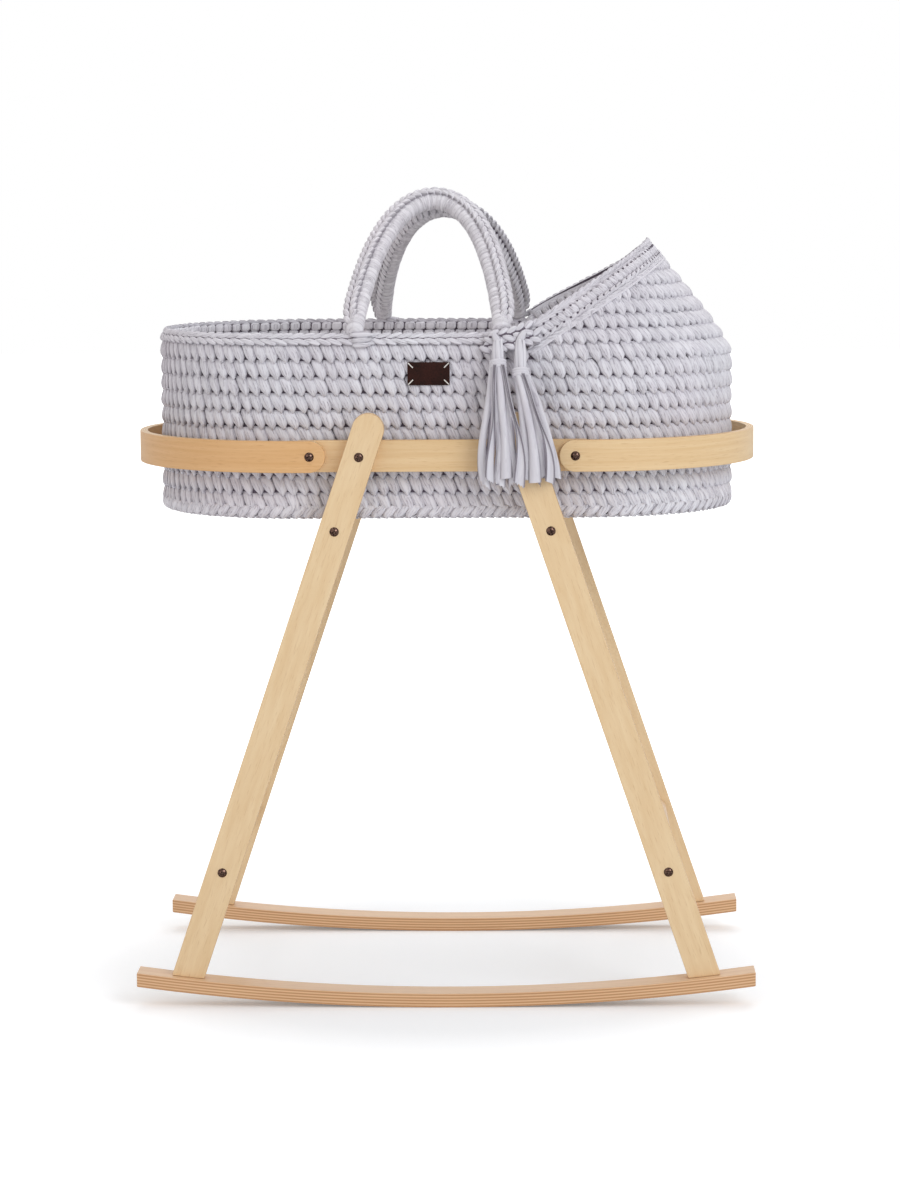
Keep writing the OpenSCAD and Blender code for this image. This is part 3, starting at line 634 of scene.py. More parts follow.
@dataclass
class Oval:
    """Plan of the basket: straight sides and round ends, walked anticlockwise from the front's middle."""

    half: float
    radius: float

    def length(self) -> float:
        """Length of the whole line."""
        return 4 * self.half + 2 * math.pi * self.radius

    def at(self, distance: float) -> tuple[Vector, Vector]:
        """Finds a place on the line.

        Args:
            distance: length walked from the middle of the front.

        Returns:
            The place at zero height and the unit outward direction.
        """
        rest = (distance + self.half) % self.length()
        for quarter in range(4):
            step = 2 * self.half if quarter % 2 == 0 else math.pi * self.radius
            if rest <= step:
                break
            rest -= step
        way = 1.0 if quarter < 2 else -1.0
        if quarter % 2 == 0:
            return Vector((way * (rest - self.half), -way * self.radius, 0.0)), Vector((0.0, -way, 0.0))
        angle = rest / self.radius - way * math.pi / 2
        out = Vector((math.cos(angle), math.sin(angle), 0.0))
        return Vector((way * self.half, 0.0, 0.0)) + out * self.radius, out

    def spot(self, distance: float, height: float, tilt: float = 0.0) -> Spot:
        """A spot on an upright or tilted wall along the line.

        Args:
            distance: length walked from the middle of the front.
            height: height above the floor.
            tilt: how far the outward direction looks up, in radians.

        Returns:
            The spot.
        """
        place, out = self.at(distance)
        place.z = height
        up = UP * math.cos(tilt) - out * math.sin(tilt)
        return Spot(place, UP.cross(out), up, out * math.cos(tilt) + UP * math.sin(tilt))

    def ring(self, count: int, pitch: float, height: float, phase: float = 0.0,
             tilt: float = 0.0) -> list[Spot]:
        """Spots of one row; the phase is its shift as a share of the pitch."""
        return [self.spot((number + phase) * pitch, height, tilt) for number in range(count)]

    def raised(self, segments: int, low: float, rise: float, capped: bool) -> BMesh:
        """Draws the line at a height and raises it.

        Args:
            segments: corners of the line.
            low: height of its lower edge.
            rise: height of the shape.
            capped: whether it is a solid block, and not an open band.

        Returns:
            The block or band.
        """
        bm = bmesh.new()
        made = bmesh.ops.create_circle(bm, cap_ends=capped, segments=segments, radius=1.0)
        for number, vert in enumerate(made["verts"]):
            vert.co = self.at(self.length() * number / segments)[0] + UP * low
        if capped:
            grown = bmesh.ops.extrude_face_region(bm, geom=bm.faces[:])
        else:
            grown = bmesh.ops.extrude_edge_only(bm, edges=bm.edges[:])
        bmesh.ops.translate(bm, vec=UP * rise, verts=verts_of(grown))
        return bm


def bisect(low: float, high: float, inside: Callable[[float], bool]) -> float:
    """Narrows down the highest value that is still inside.

    Args:
        low: a value inside.
        high: a value outside, or the end of the range.
        inside: tells whether a value is inside.

    Returns:
        The value.
    """
    for _ in range(BISECT_STEPS):
        middle = (low + high) / 2
        if inside(middle):
            low = middle
        else:
            high = middle
    return low


@dataclass
class HoodShape:
    """The hood's surface: level sections that shrink from the basket's end up to a peak."""

    root_x: float = 0.110
    root_z: float = 0.86148
    rise: float = math.radians(33.3)
    peak_z: float = 0.9635
    base_z: float = 0.81498
    end_x: float = 0.372
    side: float = 0.191
    straight: float = 0.071
    power: float = 1.2
    straight_share: float = 0.2
    far_drop: float = 0.010
    drop_power: float = 1.6
    drop_fade: float = 0.06
    edge_points: int = 60

    def front(self, z: float) -> float:
        """Where the front edge lies at a height."""
        return self.root_x + max(0.0, z - self.root_z) / math.tan(self.rise)

    def drop(self, z: float, y: float) -> float:
        """How far the far front edge sags behind the near one.

        Args:
            z: height of the place.
            y: its distance towards the back.

        Returns:
            The distance, square to the edge.
        """
        rise = max(0.0, min(1.0, (z - self.root_z) / (self.peak_z - self.root_z)))
        fade = max(0.0, min(1.0, y / self.drop_fade))
        return self.far_drop * math.sin(math.pi * rise ** self.drop_power) * fade

    def unit(self, s: float, blend: float) -> tuple[float, float]:
        """Finds a place along half of a level section.

        Args:
            s: zero at the front edge, one at the back.
            blend: zero for the basket's own plan, one for an ellipse.

        Returns:
            Shares of the section's length and of its half width.
        """
        full = self.straight + self.side
        turn = max(0.0, (s - self.straight_share) / (1 - self.straight_share)) * math.pi / 2
        if s < self.straight_share:
            oval = self.straight * s / self.straight_share / full
        else:
            oval = (self.straight + self.side * math.sin(turn)) / full
        round_x = math.sin(math.pi / 2 * s)
        round_y = math.cos(math.pi / 2 * s)
        return oval * (1 - blend) + round_x * blend, math.cos(turn) * (1 - blend) + round_y * blend

    def point(self, s: float, z: float, inset: float) -> Vector:
        """A point of the surface.

        Args:
            s: from minus one, the front edge on the near side, over zero, the back, to plus one.
            z: height.
            inset: distance inside the outer surface.

        Returns:
            The point.
        """
        peak = self.peak_z - inset
        z = min(z, peak - 0.0002)
        share = max(0.0, (z - self.base_z) / (peak - self.base_z))
        rise = max(0.0, (z - self.root_z) / (peak - self.root_z))
        base = self.end_x - inset
        back = base - (base - self.front(peak)) * share ** self.power
        half = (self.side - inset) * math.sqrt(max(0.0, 1 - rise * rise))
        x, y = self.unit(1 - abs(s), min(1.0, 2 * share))
        front = self.front(z)
        if s > 0:
            front += self.drop(z, half) / math.sin(self.rise)
        return Vector((front + (back - front) * x, math.copysign(half * y, s), z))

    def depth(self, point: Vector) -> float:
        """Distance of a point behind the sloping front edge."""
        return ((point.x - self.root_x) * math.sin(self.rise) - self.drop(point.z, point.y)
                - (point.z - self.root_z) * math.cos(self.rise))

    def edge_line(self, depth: float, inset: float) -> list[Vector]:
        """The line on the surface at one depth behind the front edge.

        Args:
            depth: distance behind the front edge.
            inset: distance inside the outer surface.

        Returns:
            Points from the near corner over the top to the far corner.
        """
        start = self.root_z - depth / math.cos(self.rise)
        top = bisect(start, self.peak_z - inset, lambda z: self.depth(self.point(0.0, z, inset)) > depth)
        sides = []
        for way in (-1.0, 1.0):
            made = []
            for k in range(self.edge_points):
                z = start + (top - start) * math.sin(math.pi / 2 * k / (self.edge_points - 1))
                s = bisect(1e-9, 1.0, lambda s: self.depth(self.point(way * s, z, inset)) > depth)
                made.append(self.point(way * s, z, inset))
            sides.append(made)
        return sides[0] + list(reversed(sides[1][:-1]))


def walked(points: Sequence[Vector]) -> list[float]:
    """Length of a line up to each of its points."""
    return list(accumulate(((b - a).length for a, b in zip(points, points[1:])), initial=0.0))


def stations(lengths: Sequence[float], goals: Iterable[float]) -> Iterator[tuple[int, float]]:
    """Finds places on a line.

    Args:
        lengths: length up to each point of the line.
        goals: rising lengths of the wished places.

    Yields:
        The number of the point before each place, and the share of the step after it.
    """
    at = 0
    for goal in goals:
        while at < len(lengths) - 2 and lengths[at + 1] < goal:
            at += 1
        step = max(1e-12, lengths[at + 1] - lengths[at])
        yield at, min(1.0, max(0.0, (goal - lengths[at]) / step))


def spread(points: Sequence[Vector], pitch: float) -> list[Vector]:
    """Places points at equal distances along a line.

    Args:
        points: the line.
        pitch: wished distance.

    Returns:
        New points from end to end.
    """
    lengths = walked(points)
    count = max(2, round(lengths[-1] / pitch))
    goals = (lengths[-1] * k / count for k in range(count + 1))
    return [points[at].lerp(points[at + 1], share) for at, share in stations(lengths, goals)]


def line_spots(points: Sequence[Vector], outward: Callable[[Vector, Vector], Vector]) -> list[Spot]:
    """Spots along a line, with across along it.

    Args:
        points: the line.
        outward: gives the outward direction for a place and a direction along the line.

    Returns:
        One spot per point.
    """
    made = []
    for k, place in enumerate(points):
        along = (points[min(k + 1, len(points) - 1)] - points[max(k - 1, 0)]).normalized()
        out = outward(place, along)
        out = (out - along * out.dot(along)).normalized()
        made.append(Spot(place, along, out.cross(along), out))
    return made


def sweep(spots: Sequence[Spot], radius: Callable[[int], float], sides: int, rib: int = 0) -> BMesh:
    """Draws a round section along spots and closes its ends.

    Args:
        spots: places, with across along the tube.
        radius: radius at each place.
        sides: corners of the section.
        rib: spots in one rib of the tube, or zero for a plain strand.

    Returns:
        A bmesh with the strand attribute.
    """
    bm = bmesh.new()
    strand = bm.verts.layers.float_vector.new(STRAND)
    ring = bmesh.ops.create_circle(bm, cap_ends=True, radius=1.0, segments=sides)["verts"]
    before = Matrix.Identity(4)
    for number, spot in enumerate(spots):
        size = radius(number)
        matrix = frame_matrix(spot.up * size, spot.out * size, spot.across, spot.place)
        if number:
            edges = [edge for edge in bm.edges if edge.is_boundary] if number > 1 else bm.edges[:]
            ring = verts_of(bmesh.ops.extrude_edge_only(bm, edges=edges))
        bmesh.ops.transform(bm, matrix=matrix @ before.inverted(), verts=ring)
        # on a ribbed tube the strand's first value peaks in the grooves, where the yarn material paints
        # shade
        share = abs(2 * (number % rib) / rib - 1) if rib else 0.0
        turns = 1.62 * (number // rib) if rib else 0.0
        for vert in ring:
            angle = math.atan2((vert.co - spot.place).dot(spot.out), (vert.co - spot.place).dot(spot.up))
            vert[strand] = (0.86 * EDGE_MM * share, angle * size / MM, 0.5 + turns)
        before = matrix
    bmesh.ops.holes_fill(bm, edges=[edge for edge in bm.edges if edge.is_boundary], sides=0)
    bmesh.ops.recalc_face_normals(bm, faces=bm.faces)
    return bm


def settle(piece: Piece, body: str, slot: str, *nodes: str) -> None:
    """Sets a piece on its body and hides the CAD nodes that it stands for.

    Args:
        piece: the piece.
        body: the body that it rides on.
        slot: its finish in the record; not used.
        nodes: CAD nodes that it stands for.
    """
    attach(piece, body)
    if nodes:
        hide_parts(*nodes)
    LOG.info("%s: %d faces on %s", piece.name, len(piece.data.polygons), body)


@dataclass
class Basket:
    """The crocheted body: wall, bottom and rim."""

    yarn: Material
    shade: Material
    half: float = 0.181
    radius: float = 0.191
    bottom: float = 0.6178
    rim_top: float = 0.84798
    wall_top: float = 0.8358
    hood_x: float = 0.110
    hood_base: float = 0.81498
    row_pitch: float = 0.0208
    rows: int = 10
    lining_rows: int = 20
    stitches: int = 132
    relief: float = 0.0060
    drift: float = 0.2
    foot_inset: float = 0.0066
    foot_lift: float = 0.0024
    foot_height: float = 0.0125
    foot_tilt: float = -0.45
    edge_lift: float = 0.0022
    edge_tilt: float = -0.5
    edge_link: float = 0.0095
    backing_insets: tuple[float, float] = (0.0064, 0.0096)
    lining_inset: float = 0.0102
    lining_top_inset: float = 0.0116
    lining_relief: float = 0.0036
    rim_inset: float = 0.007
    rim_drop: float = 0.006
    rim_tilt: float = 0.5
    link: float = 0.0137
    windings: int = 3
    winding_step: float = 0.0064
    bottom_start: float = 0.0165
    bottom_ring: float = 0.0185
    bottom_pitch: float = 0.0152
    bottom_relief: float = 0.0031
    sheet_inset: float = 0.0088
    sheet_rise: float = 0.006
    # place along X and side of each handle's foot
    handle_feet: tuple = ((-0.100, -1.0), (0.066, -1.0), (-0.081, 1.0), (0.085, 1.0))

    def oval(self, inset: float) -> Oval:
        """The plan line at a distance inside the outer face."""
        return Oval(self.half, self.radius - inset)

    def build(self) -> None:
        """Makes and settles the pieces of the body."""
        for made, node in ((self.wall(), "basket_wall"), (self.lining(), "basket_wall"),
                           (self.rim(), "rim_chain"), (self.base(), "basket_bottom")):
            settle(made, "basket", "crochet_yarn", node)

    def backing(self, low: float, high: float, limit: float) -> Piece:
        """A plain oval band of painted shade behind the stitches.

        Args:
            low: height of its lower edge.
            high: height of its upper edge.
            limit: faces beyond this place along X are left out.

        Returns:
            The band.
        """
        outer, inner = self.backing_insets
        bm = self.oval(outer).raised(144, low, high - low, False)
        far = [face for face in bm.faces if face.calc_center_median().x > limit]
        bmesh.ops.delete(bm, geom=far, context="FACES")
        bmesh.ops.recalc_face_normals(bm, faces=bm.faces)
        outside = sum(face.normal.dot(Vector((*face.calc_center_median().xy, 0.0))) for face in bm.faces)
        if outside < 0:
            bmesh.ops.reverse_faces(bm, faces=bm.faces)
        bmesh.ops.solidify(bm, geom=bm.faces[:], thickness=inner - outer)
        plain_strand(bm, 2)
        return object_from(bm, "backing", self.shade, smooth=False)

    def wall(self) -> Piece:
        """Rows of leaf stitches over a band of painted shade.

        Returns:
            The outer wall.
        """
        work = StitchWork("crochet_wall", self.yarn, 11)
        line = self.oval(self.relief)
        pitch = line.length() / self.stitches
        for row in range(self.rows):
            height = self.wall_top - (row + 1) * self.row_pitch
            spots = line.ring(self.stitches, pitch, height, self.drift * row)
            work.row(StitchKind.LEAF, [work.vary(spot, pitch, self.relief, self.row_pitch) for spot in spots
                                       if row or spot.place.x <= self.hood_x])
        foot = self.oval(self.foot_inset)
        spots = foot.ring(self.stitches, pitch, self.bottom + self.foot_lift, self.drift * self.rows,
                          self.foot_tilt)
        work.row(StitchKind.LEAF_MIRRORED, [work.vary(spot, pitch, self.relief * 0.8, self.foot_height)
                                            for spot in spots])
        count = round(foot.length() / self.edge_link)
        step = foot.length() / count
        spots = foot.ring(count, step, self.bottom + self.edge_lift, tilt=self.edge_tilt)
        work.chain(spots, width=0.0052, pitch=step, depth=0.0028, slope=0.25)
        shelf = self.hood_base + 0.001
        work.parts.append(self.backing(self.bottom + 0.0012, shelf, math.inf))
        work.parts.append(self.backing(shelf, self.wall_top + 0.003, self.hood_x + 0.002))
        return work.finish()

    def lining(self) -> Piece:
        """Brick stitches on the inside of the wall, down to the board.

        Returns:
            The lining.
        """
        work = StitchWork("crochet_wall_inside", self.yarn, 12)
        line = self.oval(self.lining_inset)
        course = self.row_pitch / 2
        pitch = line.length() / self.stitches
        for row in range(-1, self.lining_rows):
            height = self.wall_top - (row + 0.5) * course
            place = line if row >= 0 else self.oval(self.lining_top_inset)
            spots = place.ring(self.stitches, pitch, height, 0.5 * (row % 2))
            work.row(StitchKind.BRICK, [work.vary(spot.flipped(), pitch, self.lining_relief, course)
                                        for spot in spots
                                        if height <= self.hood_base or spot.place.x <= self.hood_x])
        return work.finish()

    def rim(self) -> Piece:
        """The chain braid along the rim, on a round core drawn dark as painted shade, with yarn wound round
        the handles' feet.

        Returns:
            The rim.
        """
        work = StitchWork("crochet_rim", self.yarn, 13)
        line = self.oval(self.rim_inset)
        around = math.pi * line.radius + 2 * (self.half + self.hood_x)
        count = round(around / self.link)
        start = line.length() - around + self.hood_x
        spots = [line.spot(start + around * k / count, self.rim_top - self.rim_drop, self.rim_tilt)
                 for k in range(count + 1)]
        # the dark core under the braid is painted shade in its gaps
        work.strand([spot.moved(out=-0.0006) for spot in spots], radius=0.0048, material=self.shade)
        work.chain([spot.moved(out=0.0022) for spot in spots], width=0.0150, pitch=around / count,
                   depth=0.0052, slope=0.3, overlap=1.75)
        windings = []
        for x, way in self.handle_feet:
            for course in range(self.windings):
                height = self.rim_top + 0.0006 - self.winding_step * course
                place = Vector((x, way * (self.radius - 0.001), height))
                spot = Spot(place, ASIDE * -way, UP.copy(), FORWARD * -way)
                turn = math.pi / 2 + work.random.uniform(-0.12, 0.12)
                windings.append(spot.matrix(width=0.0082, depth=0.0120, height=0.031 - 0.003 * course,
                                            turn=turn))
        work.row(StitchKind.LOBE, windings)
        return work.finish()

    def base(self) -> Piece:
        """The bottom: rings of flat stitches worked outwards over a plain sheet of painted shade.

        Returns:
            The bottom.
        """
        work = StitchWork("crochet_bottom", self.yarn, 14)
        inset = self.bottom_start + self.bottom_ring
        while self.radius - inset > 0.001:
            line = self.oval(inset)
            count = max(8, round(line.length() / self.bottom_pitch))
            pitch = line.length() / count
            matrices = []
            for spot in line.ring(count, pitch, self.bottom + 0.0032):
                under = Spot(spot.place, -spot.across, spot.out, -UP)
                matrices.append(work.vary(under, pitch, self.bottom_relief, self.bottom_ring))
            work.row(StitchKind.LEAF, matrices)
            inset += self.bottom_ring
        bm = self.oval(self.sheet_inset).raised(96, self.bottom + 0.0034, self.sheet_rise, True)
        plain_strand(bm, 1)
        bmesh.ops.recalc_face_normals(bm, faces=bm.faces)
        # the sheet is painted shade between the stitches
        work.parts.append(object_from(bm, "bottom_sheet", self.shade, smooth=False))
        return work.finish()


@dataclass
class Hood:
    """The crocheted hood over the head end, with its border rows."""

    yarn: Material
    shade: Material
    shape: HoodShape = field(default_factory=HoodShape)
    relief: float = 0.0060
    leaf_start: float = 0.024
    brick_start: float = 0.0255
    pitch: float = 0.0146
    course: float = 0.0098
    levels: tuple[float, ...] = (0.81498, 0.8358, 0.8535, 0.871, 0.8885, 0.906, 0.9235, 0.941, 0.9555)
    sheet_insets: tuple[float, float] = (0.0066, 0.0092)
    lining_inset: float = 0.0094
    lining_relief: float = 0.0034
    half_samples: int = 200
    # depths of the border's rows behind the front edge, the chains with their widths
    chains: tuple = ((0.0050, 0.0104), (0.0265, 0.0120))
    # depths of the dark lines of painted shade
    shade_lines: tuple[float, float] = (0.0104, 0.0212)
    ribs: float = 0.0157
    holes: tuple[float, float] = (0.0098, 0.0222)
    inner_rows: tuple[float, float] = (0.0112, 0.0212)
    last_row: float = 0.0326
    link: float = 0.0102
    brick: float = 0.0122
    # half widths of the peak, where no line of painted shade and no hole shows
    plain_shade_lines: float = 0.040
    plain_holes: float = 0.035

    def build(self) -> None:
        """Makes and settles the pieces of the hood."""
        for made, node in ((self.cover(), "hood"), (self.lining(), "hood"), (self.edging(), "hood_border")):
            settle(made, "basket", "crochet_yarn", node)

    def sheet(self) -> Piece:
        """The plain curved sheet of painted shade behind the stitches.

        Returns:
            The sheet.
        """
        bm = bmesh.new()
        for inset in self.sheet_insets:
            made = bmesh.ops.create_grid(bm, x_segments=48, y_segments=22, size=0.5)
            top = self.shape.peak_z - inset - 0.004
            for vert in made["verts"]:
                share = math.sin(math.pi / 2 * (vert.co.y + 0.5))
                z = self.shape.base_z + (top - self.shape.base_z) * share
                s = max(-1.0, min(1.0, 2 * vert.co.x))
                vert.co = self.shape.point(s if abs(s) > 1e-6 else 1e-6, z, inset)
        bmesh.ops.bridge_loops(bm, edges=[edge for edge in bm.edges if edge.is_boundary])
        plain_strand(bm, 2)
        bmesh.ops.recalc_face_normals(bm, faces=bm.faces)
        return object_from(bm, "hood_sheet", self.shade)

    def row_spots(self, low: float, high: float, inset: float, depth: float,
                  phase: float) -> list[tuple[Spot, float]]:
        """Spots along one level row, each with the row's height there.

        Args:
            low: height of the row's lower edge.
            high: height of its upper edge.
            inset: distance inside the outer surface.
            depth: nearest distance to the front plane.
            phase: shift of the row, as a share of the pitch.

        Returns:
            Spots on the lower edge with the length up to the upper edge.
        """
        half = self.half_samples
        samples = [k / half if k else -1e-9 for k in range(-half, half + 1)]
        line, upper = ([self.shape.point(s, z, inset) for s in samples] for z in (low, high))
        lengths = walked(line)
        count = max(1, round(lengths[-1] / self.pitch))
        goals = ((number + phase % 1.0) * lengths[-1] / count for number in range(count))
        made = []
        for at, share in stations(lengths, goals):
            place = line[at].lerp(line[at + 1], share)
            above = upper[at].lerp(upper[at + 1], share)
            if self.shape.depth((place + above) / 2) < depth:
                continue
            along = (line[min(at + 2, len(line) - 1)] - line[max(at - 1, 0)]).normalized()
            rise = above - place
            out = along.cross(rise).normalized()
            up = out.cross(along)
            made.append((Spot(place, along, -up if up.z < 0 else up, out), rise.length))
        return made

    def cover(self) -> Piece:
        """Level rows of leaf stitches, each ending under the border.

        Returns:
            The outside of the hood.
        """
        work = StitchWork("crochet_hood", self.yarn, 21)
        for row, (low, high) in enumerate(zip(self.levels, self.levels[1:])):
            spots = self.row_spots(low, high, self.relief, self.leaf_start, 0.2 * -row + 0.4)
            work.row(StitchKind.LEAF, [work.vary(spot, self.pitch, self.relief, rise)
                                       for spot, rise in spots])
        work.parts.append(self.sheet())
        return work.finish()

    def lining(self) -> Piece:
        """Brick stitches on the inside of the hood.

        Returns:
            The lining.
        """
        work = StitchWork("crochet_hood_inside", self.yarn, 22)
        for row in range(int((self.shape.peak_z - 0.02 - self.shape.base_z) / self.course)):
            low = self.shape.base_z + row * self.course
            spots = self.row_spots(low, low + self.course, self.lining_inset, self.brick_start,
                                   0.5 * (row % 2))
            work.row(StitchKind.BRICK, [work.vary(spot.flipped().moved(up=rise / 2), self.pitch,
                                                  self.lining_relief, rise) for spot, rise in spots])
        return work.finish()

    def outward(self, place: Vector, along: Vector) -> Vector:
        """Finds the outward direction of the surface near its front edge.

        Args:
            place: a place on the surface.
            along: the direction along the edge there.

        Returns:
            The direction, not yet of unit length.
        """
        behind = Vector((math.sin(self.shape.rise), 0.0, -math.cos(self.shape.rise)))
        out = along.cross(behind)
        middle = Vector((place.x, 0.0, self.shape.base_z))
        return out if out.dot(place - middle) > 0 else -out

    def border_spots(self, depth: float, inset: float, pitch: float) -> list[Spot]:
        """Spots along the front edge, with across along it.

        Args:
            depth: distance behind the edge.
            inset: distance inside the outer surface.
            pitch: distance between spots.

        Returns:
            Spots from the near corner over the top to the far corner.
        """
        return line_spots(spread(self.shape.edge_line(depth, inset), pitch), self.outward)

    def edging(self) -> Piece:
        """A flat band along the front edge: chain, slanted ribs, chain and a seam, with rows of holes and
        dark lines drawn as painted shade.

        Returns:
            The border.
        """
        work = StitchWork("crochet_hood_border", self.yarn, 23)
        roll = self.border_spots(depth=0.0052, inset=0.0060, pitch=0.0075)
        work.strand(roll, radius=0.0052, sides=10)
        for depth, width in self.chains:
            links = self.border_spots(depth, inset=0.0030, pitch=self.link)
            work.chain(links, width, self.link, depth=0.0044, slope=0.26, overlap=1.85)
        # dark strands of painted shade in the grooves between the border's rows
        for depth in self.shade_lines:
            for way in (-1.0, 1.0):
                half = [spot for spot in self.border_spots(depth, inset=0.0078, pitch=0.008)
                        if way * spot.place.y > self.plain_shade_lines]
                work.strand(half, radius=0.0024, material=self.shade)
        ribs = self.border_spots(self.ribs, inset=0.0038, pitch=0.0094)
        work.row(StitchKind.LOBE, [spot.matrix(width=0.0124, depth=0.0074, height=0.0168,
                                               turn=work.random.uniform(0.3, 0.5)) for spot in ribs])
        # the holes are small dark lobes: painted shade
        holes = [spot.matrix(width=0.0036, depth=0.0034, height=0.0030) for depth in self.holes
                 for spot in self.border_spots(depth, inset=0.0017, pitch=self.link)
                 if abs(spot.place.y) > self.plain_holes]
        work.row(StitchKind.LOBE, holes, self.shade)
        for number, depth in enumerate(self.inner_rows):
            spots = self.border_spots(depth, inset=0.0098, pitch=self.brick)[number:]
            work.row(StitchKind.BRICK, [work.vary(spot.flipped(), self.brick, depth=0.0040, height=0.0106)
                                        for spot in spots])
        work.strand(self.border_spots(self.last_row, inset=0.0024, pitch=0.004), radius=0.0015)
        return work.finish()


class Side(Enum):
    """The two handles."""

    FRONT = "front"
    BACK = "back"


@dataclass
class Handle:
    """One carry handle: a ribbed crocheted sleeve on a rope with a braided seam."""

    side: Side
    knit: Material
    yarn: Material
    shade: Material
    span: float = 0.166
    reach: float = 0.228
    skew: float = 0.0034
    flare: float = 0.0080
    tube: float = 0.021
    braid: float = 0.010
    braid_turn: float = math.radians(35.0)
    braid_face: float = math.radians(62.0)
    link: float = 0.0104
    foot_z: float = 0.85888
    root_y: float = 0.185
    rib: float = 0.0078
    # radius along one rib, from groove to groove
    rib_sizes: tuple[float, ...] = (0.945, 0.99, 1.01, 1.01, 0.99)
    # lengths of a foot's round end, of its swelling and of the braid's way in to it
    foot_dome: float = 0.007
    foot_length: float = 0.026
    foot_taper: float = 0.034
    foot_swell: float = 0.16

    def matrix(self) -> Matrix:
        """Carries the arch's own plane to its place on the rim.

        Returns:
            The matrix, with the feet on X and the arch towards Y.
        """
        front = self.side is Side.FRONT
        middle_x, top_y = (-0.017, 0.0145) if front else (0.002, 0.0059)
        tilt = Matrix.Rotation(math.pi / 2 - math.asin((self.root_y - top_y) / self.reach), 4, "X")
        if front:
            return Matrix.Translation((middle_x, -self.root_y, self.foot_z)) @ tilt
        turn = Matrix.Rotation(math.pi, 4, "Z")
        return Matrix.Translation((middle_x, self.root_y, self.foot_z)) @ turn @ tilt

    def line(self, start: float) -> list[tuple[Vector, Vector]]:
        """The arch in its own plane, half an ellipse: places with the outward direction there.

        Args:
            start: distance of both ends above the feet.

        Returns:
            Dense places from foot to foot.
        """
        half = self.span / 2
        first = math.asin(start / self.reach)
        lowest = math.atan2(half * math.sin(first), self.reach * math.cos(first))
        steps = 160
        made = []
        for k in range(steps + 1):
            lean = lowest + (math.pi - 2 * lowest) * k / steps
            turn = math.atan2(self.reach * math.sin(lean), half * math.cos(lean))
            rise, run = math.sin(turn), math.cos(turn)
            ahead = Vector((half * rise + self.skew * run, self.reach * run, 0.0)).normalized()
            place = Vector((self.skew * rise - half * run, self.reach * rise, 0.0))
            place.x -= math.copysign(self.flare, run) * (1 - min(1.0, rise)) ** 3
            made.append((place, Vector((-ahead.y, ahead.x, 0.0))))
        return made

    def taper(self, height: float) -> float:
        """Share of the distance from the arch that is left near the feet."""
        return 0.4 + 0.6 * math.sin(math.pi / 2 * max(0.0, min(1.0, height / self.foot_taper)))

    def spots(self, start: float, pitch: float, away: float, turn: float, face: float = 0.0) -> list[Spot]:
        """Spots along the arch, moved off it.

        Args:
            start: distance of both ends from the feet.
            pitch: distance between spots.
            away: distance from the arch.
            turn: turn of that distance from the arch's plane.
            face: turn of the outward direction, where it isn't the same.

        Returns:
            Spots in the CAD frame, with across along the arch.
        """
        carried = self.matrix()
        normal = carried.to_3x3() @ UP
        aside = UP * math.sin(turn)
        places = [carried @ (place + (out * math.cos(turn) + aside) * away * self.taper(place.y))
                  for place, out in self.line(start)]
        centre = carried @ Vector((0.0, 0.1, 0.0))

        def outward(place: Vector, along: Vector) -> Vector:
            """Turns the direction away from the arch's middle out of its plane.

            Args:
                place: a place on the arch.
                along: the direction along the arch there.

            Returns:
                The outward direction.
            """
            ray = normal.cross(along)
            if ray.dot(place - centre) < 0:
                ray = -ray
            return ray * math.cos(face or turn) + normal * math.sin(face or turn)

        return line_spots(spread(places, pitch), outward)

    def build(self) -> None:
        """Makes and settles the sleeve and the braid."""
        name = self.side.value
        body = name + "_handle"
        settle(self.sleeve(), body, "crochet_yarn", f"handle_{name}_sleeve", f"handle_{name}_core")
        settle(self.seam(), body, "crochet_yarn", f"handle_{name}_braid")

    def sleeve(self) -> Piece:
        """The ribbed tube.

        Returns:
            The sleeve.
        """
        draw = random.Random(31 if self.side is Side.FRONT else 32)
        steps = len(self.rib_sizes)
        spots = self.spots(-self.tube / 2, self.rib / steps, 0.0, 0.0)
        total = len(spots)
        ribs = range(total // steps + 2)
        jitter = [1 + draw.uniform(-0.03, 0.02) for _ in ribs]
        lean = [draw.uniform(-0.16, 0.16) for _ in ribs]
        slanted = [Spot(s.place, s.across, s.up + s.across * lean[k // steps], s.out)
                   for k, s in enumerate(spots)]

        def radius(number: int) -> float:
            """Draws ribs, and closed round feet.

            Args:
                number: which spot along the tube.

            Returns:
                The radius there.
            """
            ends = min(number, total - 1 - number) * self.rib / steps
            gap = max(0.0, 1 - ends / self.foot_dome)
            foot = 1 + self.foot_swell * max(0.0, 1 - ends / self.foot_length) ** 2
            dome = foot * max(0.12, math.sqrt(1 - gap * gap))
            return self.tube / 2 * self.rib_sizes[number % steps] * jitter[number // steps] * dome

        return object_from(sweep(slanted, radius, 20, steps), f"handle_{self.side.value}_tube", self.knit)

    def seam(self) -> Piece:
        """The chain braid along the sleeve's outer side, with stitches on the back handle's flank.

        Returns:
            The braid.
        """
        work = StitchWork(f"handle_{self.side.value}_seam", self.yarn, 33)
        away = (self.tube + self.braid) / 2 - 0.0022
        links = self.spots(0.003, self.link, away, self.braid_turn, self.braid_face)
        work.chain(links, width=0.0180, pitch=self.link, depth=0.0084, slope=0.46)
        # the dark core under the braid is painted shade in its gaps
        core = self.spots(0.020, self.link, away - 0.0038, self.braid_turn)
        work.strand(core, radius=0.0062, material=self.shade)
        if self.side is Side.BACK:
            flank = self.spots(start=0.008, pitch=self.link, away=self.tube / 2 - 0.0006, turn=-0.5)
            work.row(StitchKind.LOBE, [spot.matrix(width=0.0112, depth=0.0050, height=0.0155,
                                                   turn=work.random.uniform(-0.15, 0.15)) for spot in flank])
        return work.finish()


def eased(share: float) -> float:
    """A share from zero to one with a soft start and end."""
    share = max(0.0, min(1.0, share))
    return share * share * (3 - 2 * share)


class Hang(Enum):
    """The two tassels."""

    LEFT = "left"
    RIGHT = "right"


